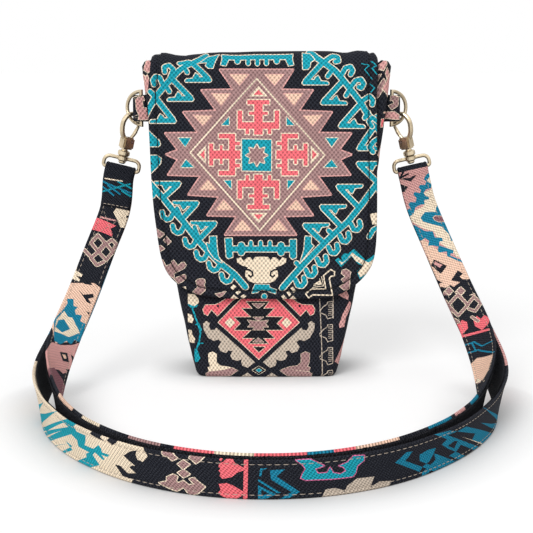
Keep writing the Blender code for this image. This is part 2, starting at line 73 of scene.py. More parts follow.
# Pouch, flap and strap sizes, as in the model, in millimetres
FOOT_WIDTH = 86.6
FOOT_DEPTH = 50
MOUTH_WIDTH = 153
MOUTH_DEPTH = 18.4
POUCH_HEIGHT = 187
SIDE_BOW = 0.33
PANEL_BULGE = 1.2
FOOT_ROUND = 3
CORNER_RADIUS = 6
CANVAS = 1.2
LINING_GAP = 1.5
FLAP_LIFT = 4.1
FLAP_STANDOFF = 2.4
FLAP_FOLD = MOUTH_DEPTH / 2 + FLAP_LIFT
FLAP_TIP = 47
FLAP_BACK = 168
FLAP_LEFT = -71
FLAP_RIGHT = 68
FLAP_CLOTH = 1.3
FACING = 0.8
FACING_INSET = 2.5
EAR_RISE = 7.5
EAR_FROM = 64
EAR_WIDTH = 7
EAR_FOOT = 120
CORNER_DROP = 4.2
CORNER_FROM = 73.2
CORNER_WIDTH = 3.4
CORNER_FOOT = 150
FOLD_STRETCH = 1.04
FOLD_SPREAD = 0.016
FIT = 0.3
WIRE = 1.2
TAB_MIDDLE = 165.2
TAB_HEIGHT = 16.4
TAB_REACH = 8.8
TAB_CLOTH = 1
STRAP_HALF = 9.5
STRAP_CLOTH = 1.2
STRAP_FULL = 2.5
STRAP_SEWN = 1.9
STRAP_SPREAD = 10
STRAP_STEPS = 10
CLASP_TILT = radians(13)
STRAP_BAR = (91.7, 4.15, 127.14)

# Seams, in from an edge: the flap's rolled rim, groove and ridge, and the seam of a tab or the strap
FLAP_ROLL = 2.3
FLAP_GROOVE = 4.9
FLAP_RIDGE = 6.6
EDGE_SEAM = 2.2
FACING_SHIFT = 0.3

# Stitch rings: share of the stitch's length, share of its radius, and lift in radii
STITCH_RINGS = ((0, 0.35, -0.8), (0.2, 1, 0.1), (0.5, 1.1, 0.4), (0.8, 1, 0.1), (1, 0.35, -0.8))
STITCH_SIDES = 5

# Stage and light: the floor, its contact shadow, partly painted by dimming the floor's glow with occlusion,
# the world, and each sun's strength, width, tilt and turn
FLOOR_REACH = 6
FLOOR_GLOW = 0.47
CONTACT_REACH = 32
CONTACT_POWER = 1.7
WORLD_LEVEL = 0.55
SUNS = {"key": (1.68, 34, 54, -30), "fill": (0.45, 70, 64, 42)}

# Strap route, as in the model: out, forward, height, lean in degrees, share of the spread
HANG_LEFT = [(95.5, 2, 101, 4, 0.02), (104.5, -7, 77, 6, 0.05), (113.5, -23, 52, 12, 0.25),
             (121, -46, 32.5, 26, 0.6), (125, -77, 19.5, 50, 0.9), (122, -112, 12.6, 76, 1),
             (111.5, -148, 9.5, 90, 1), (93, -184, 9.5, 90, 1), (65, -216, 9.5, 90, 1),
             (33, -235, 9.5, 90, 1)]
HANG_RIGHT = [(97.5, 2, 104, 4, 0.02), (107.5, -7, 80, 6, 0.05), (118, -23, 55, 12, 0.25),
              (126.5, -46, 35, 26, 0.6), (130, -77, 20.5, 50, 0.9), (125.5, -112, 12.6, 76, 1),
              (113.5, -148, 9.5, 90, 1), (93.5, -184, 9.5, 90, 1), (65, -216, 9.5, 90, 1),
              (33, -235, 9.5, 90, 1)]
HANG_FRONT = (0, -241, 9.5, 90, 1)

# Weaves: a cell's width and height in millimetres, and how far the rows lean
POUCH_WEAVE = (2.6, 3.0, 0.0)
STRAP_WEAVE = (1.9, 1.7, 0.35)
LINING_WEAVE = (0.7, 0.7, 0.0)
SHARP_ANGLE = radians(42)

COLOURS = {"navy": "12141E", "ink": "0D0D14", "teal": "0A9FB1", "sea": "0980A0", "cream": "F6E3C8",
           "mauve": "A98482", "coral": "F7717A", "peach": "F6CDB4", "rose": "DFA5A0", "taupe": "CBBBAA",
           "plum": "8E5E66", "pink": "D96C9A"}


def linear(name):
    """The named colour as linear red, green and blue."""
    code = COLOURS[name]
    parts = [int(code[k:k + 2], 16) / 255 for k in (0, 2, 4)]
    return [part / 12.92 if part <= 0.04045 else ((part + 0.055) / 1.055) ** 2.4 for part in parts]


# Places in the photograph


def photo_ray(px, py):
    across = (px - PHOTO_SIDE / 2) / FOCAL_PIXELS
    upward = (PHOTO_SIDE / 2 - py) / FOCAL_PIXELS
    forward = Vector((0, cos(CAMERA_PITCH), -sin(CAMERA_PITCH)))
    up = Vector((0, sin(CAMERA_PITCH), cos(CAMERA_PITCH)))
    return forward + Vector((across, 0, 0)) + up * upward


def on_leaning_plane(px, py, low, high):
    """Where the pixel's ray meets the plane through (y, z) points low and high: x and z."""
    ray = photo_ray(px, py)
    slope = (high[0] - low[0]) / (high[1] - low[1])
    gap = low[0] + slope * (CAMERA_PLACE.z - low[1]) - CAMERA_PLACE.y
    reach = gap / (ray.y - slope * ray.z)
    hit = CAMERA_PLACE + ray * reach
    return hit.x, hit.z


def to_photo(point):
    offset = point - CAMERA_PLACE
    depth = offset.y * cos(CAMERA_PITCH) - offset.z * sin(CAMERA_PITCH)
    up = offset.y * sin(CAMERA_PITCH) + offset.z * cos(CAMERA_PITCH)
    return Vector((PHOTO_SIDE / 2 + FOCAL_PIXELS * offset.x / depth,
                   PHOTO_SIDE / 2 - FOCAL_PIXELS * up / depth))


def window(left, top, scale):
    """Turns points of an enlarged part of the photograph into its pixels."""
    return lambda points: [(left + x / scale, top + y / scale) for x, y in points]


# Flat shapes: an area is a list of points, and a line has a width


def area(*points):
    return ("area", list(points), 0)


def line(width, *points):
    return ("line", list(points), width)


def loop(width, *points):
    return ("line", [*points, points[0]], width)


def moved(shape, change):
    kind, points, width = shape
    return (kind, change(points), width)


def areas(view, outlines):
    """Areas whose outlines were read in an enlarged part of the photograph."""
    return [area(*view(points)) for points in outlines]


def disc(centre, radius, sides=8):
    return [(centre[0] + radius * cos(2 * pi * k / sides), centre[1] + radius * sin(2 * pi * k / sides))
            for k in range(sides)]


def stroke(points, width):
    """Polygons that together cover a line with round ends and turns."""
    parts = [disc(point, width / 2) for point in points]
    for (ax, ay), (bx, by) in zip(points, points[1:]):
        length = hypot(bx - ax, by - ay)
        if length < 1e-6:
            continue
        nx = (ay - by) / length * width / 2
        ny = (bx - ax) / length * width / 2
        parts.append([(ax + nx, ay + ny), (bx + nx, by + ny), (bx - nx, by - ny), (ax - nx, ay - ny)])
    return parts


def polygons(shape, edge=0):
    """The polygons that cover a shape, or the shape grown by edge."""
    kind, points, width = shape
    if kind == "line":
        return stroke(points, width + 2 * edge)
    grown = stroke([*points, points[0]], 2 * edge) if edge else []
    return grown + [points]


def paint(layers, shapes, colour, rim=None, edge=0.8):
    """Adds shapes to the print, over what is there, with an edge of another colour under all of them."""
    if rim:
        for shape in shapes:
            layers.extend((rim, part) for part in polygons(shape, edge))
    for shape in shapes:
        layers.extend((colour, part) for part in polygons(shape))


def curve(points, steps, closed=False):
    """Points on a smooth curve through the given ones."""
    points = [Vector(point) for point in points]
    if closed:
        ends = [points[-1], *points, points[0], points[1]]
    else:
        ends = [2 * points[0] - points[1], *points, 2 * points[-1] - points[-2]]
    path = []
    for a, b, c, d in zip(ends, ends[1:], ends[2:], ends[3:]):
        for k in range(steps):
            t = k / steps
            path.append(0.5 * (2 * b + (c - a) * t + (2 * a - 5 * b + 4 * c - d) * t * t
                               + (3 * b - a - 3 * c + d) * t ** 3))
    if not closed:
        path.append(points[-1].copy())
    return path


def signed_area(points):
    return sum(ax * by - bx * ay for (ax, ay), (bx, by) in zip(points, points[1:] + points[:1])) / 2


def inset(points, distance, closed=True):
    """The outline drawn in by a distance. It runs anticlockwise."""
    count = len(points)
    drawn = []
    for k, (x, y) in enumerate(points):
        ax, ay = points[k - 1] if closed or k else points[0]
        bx, by = points[(k + 1) % count] if closed or k < count - 1 else points[-1]
        length = hypot(bx - ax, by - ay)
        drawn.append((x - (by - ay) / length * distance, y + (bx - ax) / length * distance))
    return drawn


def rim_distance(points):
    """A function that gives how far a point is from an open or closed outline."""
    pairs = list(zip(points, points[1:]))

    def distance(x, y):
        best = 1e9
        for (ax, ay), (bx, by) in pairs:
            dx = bx - ax
            dy = by - ay
            t = ((x - ax) * dx + (y - ay) * dy) / (dx * dx + dy * dy + 1e-12)
            t = min(1, max(0, t))
            best = min(best, (x - ax - t * dx) ** 2 + (y - ay - t * dy) ** 2)
        return sqrt(best)

    return distance


def bell(distance, width):
    """A smooth hump: one at no distance, and nearly nothing at two widths."""
    return exp(-(distance / width) ** 2)


def sewn_edge(distance, drop, reach, ridge, groove):
    """Relief near a folded edge: it rolls off, with a low ridge and then the groove of the seam."""
    rolled = -drop * max(0, 1 - distance / reach) ** 2
    return rolled + 0.12 * bell(distance - ridge, 0.6) - groove * bell(distance - EDGE_SEAM, 0.4)


def sound(polygon):
    """The polygon without repeated points, or nothing if it has no area."""
    kept = [point for point, last in zip(polygon, polygon[-1:] + polygon[:-1])
            if hypot(point[0] - last[0], point[1] - last[1]) > 0.01]
    return kept if len(kept) > 2 and abs(signed_area(kept)) > 0.01 else None


def covered(spots, polygon):
    """Which of the spots the polygon covers, by counting the edges to the right of each."""
    held = np.zeros(len(spots), bool)
    for (ax, ay), (bx, by) in zip(polygon, polygon[1:] + polygon[:1]):
        if ay != by:
            level = (spots[:, 1] < ay) != (spots[:, 1] < by)
            held ^= level & (spots[:, 0] < ax + (spots[:, 1] - ay) * (bx - ax) / (by - ay))
    return held


def cut_sheet(outline, layers, guides, ground):
    """Cuts a flat sheet along its print and along guide lines: points, triangles and each one's colour."""
    layers = [(colour, part) for colour, part in ((colour, sound(part)) for colour, part in layers) if part]
    points = []
    edges = []
    for polygon in [outline, *(part for _, part in layers)]:
        first = len(points)
        points.extend(Vector(point) for point in polygon)
        edges.extend((first + k, first + (k + 1) % len(polygon)) for k in range(len(polygon)))
    for guide in guides:
        first = len(points)
        points.extend(Vector(point) for point in guide)
        edges.extend((k, k + 1) for k in range(first, len(points) - 1))
    flat, _, triangles, _, _, _ = geometry.delaunay_2d_cdt(points, edges, [], 0, 1e-4, False)
    places = np.array([tuple(point) for point in flat])
    middles = places[np.array([tuple(triangle) for triangle in triangles])].mean(axis=1)
    top = np.where(covered(middles, outline), -1, -2)
    for k, (_, part) in enumerate(layers):
        low = np.min(part, axis=0)
        high = np.max(part, axis=0)
        near = np.flatnonzero(((middles > low) & (middles < high)).all(axis=1) & (top > -2))
        top[near[covered(middles[near], part)]] = k
    kept = [(triangle, layer) for triangle, layer in zip(triangles, top) if layer > -2]
    colours = [layers[layer][0] if layer >= 0 else ground for _, layer in kept]
    return flat, [triangle for triangle, _ in kept], colours


def grid(x_low, x_high, y_low, y_high, step_x, step_y):
    """Guide lines both ways, so that a cut sheet can bend."""
    across = max(1, round((x_high - x_low) / step_x))
    upward = max(1, round((y_high - y_low) / step_y))
    xs = [x_low + (x_high - x_low) * k / across for k in range(1, across)]
    ys = [y_low + (y_high - y_low) * k / upward for k in range(1, upward)]
    return [[(x, y_low), (x, y_high)] for x in xs] + [[(x_low, y), (x_high, y)] for y in ys]


def lay(name, flat, triangles, colours, place, relief, thickness, material, share=None):
    """A cloth piece: place gives a point of its face in millimetres, and relief lifts it off that face."""
    tiny = 0.05
    spots = []
    used = sorted({k for triangle in triangles for k in triangle})
    fresh = {old: new for new, old in enumerate(used)}
    for old in used:
        x, y = flat[old]
        point = place(x, y)
        normal = (place(x + tiny, y) - point).cross(place(x, y + tiny) - point)
        if normal.length > 0:
            point = point + normal.normalized() * relief(x, y)
        spots.append(point * MM)
    mesh = bpy.data.meshes.new(name)
    mesh.from_pydata(spots, [], [[fresh[k] for k in triangle] for triangle in triangles])
    mesh.uv_layers.new(name="flat")
    mesh.color_attributes.new("print", "FLOAT_COLOR", "CORNER")
    weave_map = mesh.uv_layers["flat"]
    paints = mesh.color_attributes["print"]
    shades = {colour: [*linear(colour), 1] for colour in set(colours)}
    for face, triangle, colour in zip(mesh.polygons, triangles, colours):
        for corner, old in zip(face.loop_indices, triangle):
            weave_map.data[corner].uv = flat[old] * MM
            paints.data[corner].color = shades[colour]
    mesh.materials.append(material)
    mesh.shade_smooth()
    made = bpy.data.objects.new(name, mesh)
    bpy.context.scene.collection.objects.link(made)
    if thickness:
        solid = made.modifiers.new("thickness", "SOLIDIFY")
        solid.thickness = thickness * MM
        solid.offset = -1
        if share:
            group = made.vertex_groups.new(name="thickness")
            for new, old in enumerate(used):
                group.add([new], share(*flat[old]), "REPLACE")
            solid.vertex_group = group.name
    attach(made, "pouch")
    return made


def smooth(x, y):
    """The relief of a cloth that has none."""
    return 0.0


def stitches(name, paths, place, length, gap, radius, lift, material):
    """Thread stitches along flat paths, each one a short pinched cord that dips at both ends."""
    bm = bmesh.new()
    sides = STITCH_SIDES
    for path in paths:
        lengths = [0]
        for (ax, ay), (bx, by) in zip(path, path[1:]):
            lengths.append(lengths[-1] + hypot(bx - ax, by - ay))
        start = gap
        while start + length < lengths[-1]:
            rings = []
            for share, swell, dip in STITCH_RINGS:
                at = start + length * share
                k = next(i for i in range(1, len(lengths)) if lengths[i] >= at)
                part = (at - lengths[k - 1]) / max(1e-6, lengths[k] - lengths[k - 1])
                (ax, ay), (bx, by) = path[k - 1], path[k]
                x = ax + (bx - ax) * part
                y = ay + (by - ay) * part
                point = place(x, y)
                ahead = place(x + (bx - ax) * 0.01, y + (by - ay) * 0.01) - point
                normal = (place(x + 0.05, y) - point).cross(place(x, y + 0.05) - point).normalized()
                side = normal.cross(ahead).normalized()
                centre = point + normal * (lift + dip * radius)
                ring = []
                for turn in (2 * pi * s / sides for s in range(sides)):
                    out = side * cos(turn) + normal * sin(turn)
                    ring.append(bm.verts.new((centre + radius * swell * out) * MM))
                rings.append(ring)
            for low, high in zip(rings, rings[1:]):
                for s in range(sides):
                    bm.faces.new((low[s], low[(s + 1) % sides], high[(s + 1) % sides], high[s]))
            bm.faces.new(rings[0][::-1])
            bm.faces.new(rings[-1])
            start += length + gap
    mesh = bpy.data.meshes.new(name)
    bm.to_mesh(mesh)
    bm.free()
    mesh.materials.append(material)
    mesh.shade_smooth()
    made = bpy.data.objects.new(name, mesh)
    bpy.context.scene.collection.objects.link(made)
    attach(made, "pouch")
    return made


# Materials


def add_node(tree, kind, **settings):
    node = tree.nodes.new(kind)
    for name, value in settings.items():
        setattr(node, name, value)
    return node


def calculate(tree, operation, first, second=None):
    node = add_node(tree, "ShaderNodeMath", operation=operation)
    for socket, value in zip(node.inputs, (first, second)):
        if isinstance(value, bpy.types.NodeSocket):
            tree.links.new(value, socket)
        elif value is not None:
            socket.default_value = value
    return node.outputs[0]


def mix_colours(tree, share, first, second, blend="MIX"):
    node = add_node(tree, "ShaderNodeMix", data_type="RGBA", blend_type=blend)
    for socket, value in ((node.inputs[0], share), (node.inputs[6], first), (node.inputs[7], second)):
        if isinstance(value, bpy.types.NodeSocket):
            tree.links.new(value, socket)
        else:
            socket.default_value = value
    return node.outputs[2]


def ranged(tree, value, from_low, from_high, to_low, to_high):
    node = add_node(tree, "ShaderNodeMapRange")
    tree.links.new(value, node.inputs[0])
    for k, number in enumerate((from_low, from_high, to_low, to_high), 1):
        node.inputs[k].default_value = number
    return node.outputs[0]


def noise_of(tree, coordinates, scale, detail):
    node = add_node(tree, "ShaderNodeTexNoise")
    node.inputs["Scale"].default_value = scale
    node.inputs["Detail"].default_value = detail
    tree.links.new(coordinates, node.inputs["Vector"])
    return node.outputs[0]


def new_material(name):
    made = bpy.data.materials.new(name)
    made.use_nodes = True
    return made, made.node_tree, made.node_tree.nodes["Principled BSDF"]


def canvas_material(name, cell_wide, cell_high, lean, plain=None, glint=0.12):
    """Printed canvas: cells of thread in offset rows on the flat map, each crossing raised, with painted
    shade between crossings and a painted highlight and glint on them.
    """
    made, tree, shader = new_material(name)
    flat = add_node(tree, "ShaderNodeUVMap", uv_map="flat").outputs[0]
    parts = add_node(tree, "ShaderNodeSeparateXYZ")
    warp = add_node(tree, "ShaderNodeVectorMath", operation="MULTIPLY_ADD")
    wobble = add_node(tree, "ShaderNodeTexNoise")
    wobble.inputs["Scale"].default_value = 260
    tree.links.new(flat, wobble.inputs["Vector"])
    tree.links.new(wobble.outputs[1], warp.inputs[0])
    warp.inputs[1].default_value = (0.0006, 0.0005, 0)
    tree.links.new(flat, warp.inputs[2])
    tree.links.new(warp.outputs[0], parts.inputs[0])
    across = parts.outputs[0]
    upward = parts.outputs[1]
    across = calculate(tree, "ADD", across, calculate(tree, "MULTIPLY", upward, lean))
    wave_x = calculate(tree, "COSINE", calculate(tree, "MULTIPLY", across, 2 * pi / (cell_wide * MM)))
    wave_y = calculate(tree, "COSINE", calculate(tree, "MULTIPLY", upward, 2 * pi / (cell_high * MM)))
    crossing = ranged(tree, calculate(tree, "MULTIPLY", wave_x, wave_y), -0.9, 0.35, 0, 1)
    fibre = noise_of(tree, flat, 2600, 2)
    fade = noise_of(tree, flat, 45, 3)
    if plain:
        ink = add_node(tree, "ShaderNodeRGB").outputs[0]
        ink.default_value = (*linear(plain), 1)
    else:
        ink = add_node(tree, "ShaderNodeAttribute", attribute_name="print").outputs[0]
    # Painted shade and highlight of the weave: the print is darkened between crossings and lightened on them.
    painted_weave_shade = ranged(tree, crossing, 0, 1, 0.58, 1.22)
    shade = calculate(tree, "MULTIPLY", painted_weave_shade, ranged(tree, fibre, 0.3, 0.7, 0.72, 1.3))
    shade = calculate(tree, "MULTIPLY", shade, ranged(tree, fade, 0.3, 0.7, 0.93, 1.05))
    shades = add_node(tree, "ShaderNodeCombineXYZ")
    for socket in shades.inputs:
        tree.links.new(shade, socket)
    shaded = mix_colours(tree, 1.0, ink, shades.outputs[0], "MULTIPLY")
    # Painted glint: a pale blue-grey is mixed into the colour on the crossings where the fibre noise is high.
    thread = calculate(tree, "MULTIPLY", crossing, ranged(tree, fibre, 0.45, 0.75, 0, glint))
    lit = mix_colours(tree, thread, shaded, (0.62, 0.66, 0.74, 1))
    tree.links.new(lit, shader.inputs["Base Color"])
    shader.inputs["Roughness"].default_value = 0.82
    shader.inputs["Specular IOR Level"].default_value = 0.12
    bump = add_node(tree, "ShaderNodeBump")
    bump.inputs["Strength"].default_value = 0.9
    bump.inputs["Distance"].default_value = 0.45 * MM
    height = calculate(tree, "ADD", crossing, calculate(tree, "MULTIPLY", fibre, 0.35))
    tree.links.new(height, bump.inputs["Height"])
    tree.links.new(bump.outputs[0], shader.inputs["Normal"])
    return made


def thread_material(name, colour):
    made, tree, shader = new_material(name)
    place = add_node(tree, "ShaderNodeTexCoord").outputs["Object"]
    twist = noise_of(tree, place, 3000, 2)
    dark = (*[0.6 * part for part in linear(colour)], 1)
    shade = mix_colours(tree, ranged(tree, twist, 0.3, 0.7, 0, 1), dark, (*linear(colour), 1))
    tree.links.new(shade, shader.inputs["Base Color"])
    shader.inputs["Roughness"].default_value = 0.7
    return made


def metal_material(name, light, dark, roughness):
    """Antiqued metal: painted light on what faces up, left and forward, painted shade on what faces away, and
    darker patina in patches.
    """
    made, tree, shader = new_material(name)
    place = add_node(tree, "ShaderNodeTexCoord").outputs["Object"]
    patches = noise_of(tree, place, 260, 4)
    scratches = noise_of(tree, place, 1900, 3)
    # Painted light and shade: the colour is lighter where the normal faces up, left and forward, and darker
    # where it faces away.
    upward = add_node(tree, "ShaderNodeVectorMath", operation="DOT_PRODUCT")
    tree.links.new(add_node(tree, "ShaderNodeNewGeometry").outputs["Normal"], upward.inputs[0])
    upward.inputs[1].default_value = (-0.4, -0.45, 0.8)
    # Patina in patches, times the painted light and shade of the facing.
    patina_and_painted_light = calculate(tree, "MULTIPLY", ranged(tree, patches, 0.3, 0.6, 0.72, 1),
                     ranged(tree, upward.outputs["Value"], -0.55, 0.5, 0.02, 1))
    tone = mix_colours(tree, patina_and_painted_light, (*dark, 1), (*light, 1))
    tree.links.new(tone, shader.inputs["Base Color"])
    shader.inputs["Metallic"].default_value = 1
    rough = ranged(tree, scratches, 0.3, 0.7, roughness - 0.07, roughness + 0.12)
    tree.links.new(rough, shader.inputs["Roughness"])
    bump = add_node(tree, "ShaderNodeBump")
    bump.inputs["Strength"].default_value = 0.25
    bump.inputs["Distance"].default_value = 0.05 * MM
    tree.links.new(patches, bump.inputs["Height"])
    tree.links.new(bump.outputs[0], shader.inputs["Normal"])
    return made


# The flap's surface and print


def half_width(z):
    share = z / POUCH_HEIGHT
    return (FOOT_WIDTH + (MOUTH_WIDTH - FOOT_WIDTH) * (share + SIDE_BOW * share * (1 - share))) / 2


def half_depth(z):
    return (FOOT_DEPTH + (MOUTH_DEPTH - FOOT_DEPTH) * z / POUCH_HEIGHT) / 2


def flap_front(z):
    share = (POUCH_HEIGHT - z) / (POUCH_HEIGHT - FLAP_TIP)
    return -(half_depth(z) + FLAP_LIFT + FLAP_STANDOFF * share)


FOLD_LENGTH = pi * FLAP_FOLD
FLAP_END = POUCH_HEIGHT + FOLD_LENGTH + POUCH_HEIGHT - FLAP_BACK

# How far the fold's top sinks, by place across, in millimetres
FOLD_SAG = [(-72, 5.2), (-69.5, 3.2), (-66, 1.7), (-62, 1.1), (-55.5, 2.5), (-51, 3), (-44, 2.1), (-34, 1.1),
            (-27, 0.8), (-6, 0.3), (20, 0), (38, 0), (49, 1.1), (53, 0.4), (57, -0.2), (61, 0.4), (65, 1.6),
            (68, 3), (70, 4.5)]


def between(table, x):
    if x <= table[0][0]:
        return table[0][1]
    for (ax, ay), (bx, by) in zip(table, table[1:]):
        if x <= bx:
            share = (x - ax) / (bx - ax)
            share = share * share * (3 - 2 * share)
            return ay + (by - ay) * share
    return table[-1][1]


def flap_place(x, w, depth=0):
    """The flap's outer face: up the front, over the fold, then down the back."""
    if w <= POUCH_HEIGHT:
        point = Vector((x, flap_front(w) + depth, w))
    elif w <= POUCH_HEIGHT + FOLD_LENGTH:
        turn = (w - POUCH_HEIGHT) / FLAP_FOLD
        reach = FLAP_FOLD - depth
        drop = between(FOLD_SAG, x) * sin(turn) ** 1.5
        point = Vector((x, -reach * cos(turn), POUCH_HEIGHT + reach * sin(turn) - drop))
    else:
        z = 2 * POUCH_HEIGHT + FOLD_LENGTH - w
        point = Vector((x, half_depth(z) + FLAP_LIFT - depth, z))
    return point


def flap_flat(points):
    """Photo pixels on the flap as places on its flat cloth."""
    spots = []
    tip = (flap_front(FLAP_TIP), FLAP_TIP)
    fold = (flap_front(POUCH_HEIGHT), POUCH_HEIGHT)
    for px, py in points:
        x, z = on_leaning_plane(px, py, tip, fold)
        if z > POUCH_HEIGHT:
            turn = asin(min(1, (z - POUCH_HEIGHT) / (FLAP_FOLD * FOLD_STRETCH)))
            x *= 1 + FOLD_SPREAD * (1 - cos(turn))
            z = POUCH_HEIGHT + FLAP_FOLD * turn
        spots.append((x, z))
    return spots


FLAP_EDGE_LEFT = [(147.3, 92), (148.2, 120), (149.8, 150), (151.2, 180), (153.4, 207), (156.4, 230),
                  (160, 253), (165.5, 270), (174.5, 281.5), (187, 290), (202, 295.8), (226, 298.8)]
FLAP_EDGE_RIGHT = [(292, 299.3), (319, 298.8), (336, 296), (353, 286.8), (363.5, 277.5), (371.5, 266),
                   (375.3, 252), (377, 230), (377.4, 200), (377.2, 150), (376.9, 92)]


def axis_at(py):
    """The print's own middle line, which runs a little askew."""
    return 256.6 + 0.0245 * (py - 70)


def both_sides(shape):
    """The shape and its mirror image about the print's axis."""
    return [shape, moved(shape, lambda points: [(2 * axis_at(y) - x, y) for x, y in points])]


def from_axis(points):
    return [(axis_at(y) + x, y) for x, y in points]


def along_stem(stem, distance):
    """The point this far along a stem, and the stem's direction there."""
    for (ax, ay), (bx, by) in zip(stem, stem[1:]):
        length = hypot(bx - ax, by - ay)
        if distance <= length:
            break
        distance -= length
    direction = ((bx - ax) / length, (by - ay) / length)
    return (ax + direction[0] * distance, ay + direction[1] * distance), direction


BARB = [(-0.6, 1.6), (0.8, 0), (25.5, 0), (26, 1.5), (24.5, 3), (18.2, 3.6), (17, 6.2), (15.4, 9), (12.6, 7),
        (11.4, 4.8), (4, 5), (1.2, 5)]
HOOK = [(0, 0), (6.3, 2.2), (9, 0.8), (9.5, -2.6), (8.4, -6)]


def hooks_along(stem, outward, distances):
    """Curled hooks that leave a stem on one side."""
    hooks = []
    for distance in distances:
        (x, y), (dx, dy) = along_stem(stem, distance)
        hooks.append([(x + outward * dy * out + dx * on, y - outward * dx * out + dy * on)
                      for out, on in HOOK])
    return hooks


def hook_chain(stem, hooks, nubs, barbs):
    """A stem with hooks and nubs, and on its inner side flag-like barbs, each from its root to its corner."""
    shapes = [line(5.6, *stem)]
    shapes += [line(4.5, *hook) for hook in hooks]
    shapes += [line(4.2, *nub) for nub in nubs]
    for root, corner in barbs:
        flip_x = -1 if corner[0] < axis_at(corner[1]) else 1
        flip_y = -1 if root[1] < corner[1] else 1
        shapes.append(area(*[(corner[0] + flip_x * x, corner[1] + flip_y * y) for x, y in BARB]))
        shapes.append(line(5, root, (corner[0] + flip_x * 2.6, corner[1] + flip_y * 3)))
    return shapes


MEDALLION = [(36.5, 69.5), (23.6, 89.7), (55.5, 90.3), (40.9, 110.8), (74.1, 112.2), (59.6, 133),
             (92.9, 133.3), (80.4, 150), (92.4, 154.4), (80.7, 159.5), (91, 174.6), (58.3, 175.7),
             (71.2, 194.5), (40.2, 196.5), (52.6, 215.2), (22.9, 216), (35.4, 234.7)]
PEACH_TEETH = [((-27, 74.4), (-8, 74.4), (-17.6, 85.2)), ((-45.6, 93.6), (-26.8, 93.8), (-36.4, 105.6)),
               ((-64.4, 115), (-45.6, 115.8), (-54.8, 125.6)), ((-51.4, 179.8), (-43, 189.6), (-60.4, 189.8)),
               ((-36.2, 199.8), (-27, 209.6), (-44.4, 210)), ((-18, 219.8), (-8.6, 230.4), (-27, 230.6))]
TEAL_TEETH = [((-79.8, 138), (-67.4, 138), (-73.2, 146.8)), ((-72.8, 159.6), (-65.2, 167.2), (-78.2, 167.2)),
              ((-28.8, 117), (-28.8, 125.1), (-36.4, 125.1)), ((-35.2, 180.6), (-28.2, 180.3), (-28.2, 189))]

# One coral comb: rectangles by distance out from the medallion's middle, from and to, and across, from and to
COMB = [(20, 51, -4.2, 4.2), (50.2, 54.6, -11, 11), (39.8, 42.8, -9.4, 9.4), (25.8, 32.4, -20.8, 20.8),
        (25.8, 44, -20.8, -16.2), (25.8, 44, 16.2, 20.8), (20.6, 26, 9.4, 12.8), (20.6, 26, -12.8, -9.4)]
MIDDLE = (258.4, 154.6)


def turned(points, quarter, scale=1.0):
    """Points given as (out, across), turned about the medallion's middle by quarter turns from the top."""
    ways = [((0, -1), (1, 0)), ((1, 0), (0, 1)), ((0, 1), (-1, 0)), ((-1, 0), (0, -1))]
    (ox, oy), (ax, ay) = ways[quarter]
    return [(MIDDLE[0] + scale * out * ox + across * ax, MIDDLE[1] + scale * out * oy + across * ay)
            for out, across in points]


HIGH_LEFT_STEM = [(145, 116), (148.8, 108.8), (155.4, 97), (165, 85.3), (172.4, 77.2), (184, 65.4), (193, 61),
                  (206, 54)]
HIGH_RIGHT_STEM = [(309, 52.6), (323.2, 61.8), (335, 70.6), (343.8, 80.9), (349.7, 88.2), (360, 101.5),
                   (366, 111.8), (373.2, 122), (380, 132)]
LOW_LEFT_STEM = [(148, 181), (152.1, 186), (163, 197.8), (173.1, 210.4), (183.2, 221.3), (196.7, 239),
                 (209.3, 252.5), (220.3, 263.4), (234.6, 274.4), (245.5, 287)]
LOW_RIGHT_STEM = [(380, 179), (376, 185), (361.5, 205), (347.6, 222), (336.7, 231.4), (325.8, 241.8),
                  (313.4, 254.2), (303.2, 264.6), (293.1, 275.7), (282.2, 288.1)]
LEFT_CURL = [(6.5, -6.5), (3.6, -1), (0, 0), (-3.6, -2.6), (-4.7, -7.5)]
LEFT_ROOTS = [(166.8, 219.5), (177.4, 233), (189.6, 246.9), (200.9, 259.5), (213.5, 270.4), (226.2, 281.8)]
RIGHT_CURL = [(-6, -5.4), (-3.4, 0.4), (0.6, 1), (3.6, -2.6), (2.6, -7.6)]
RIGHT_ROOTS = [(356.9, 229), (345.7, 240.7), (334.4, 252.3), (323.1, 264), (311.8, 274.9), (301.3, 285)]


def curls(form, roots):
    """The same curled hook at each root."""
    return [[(x + dx, y + dy) for dx, dy in form] for x, y in roots]


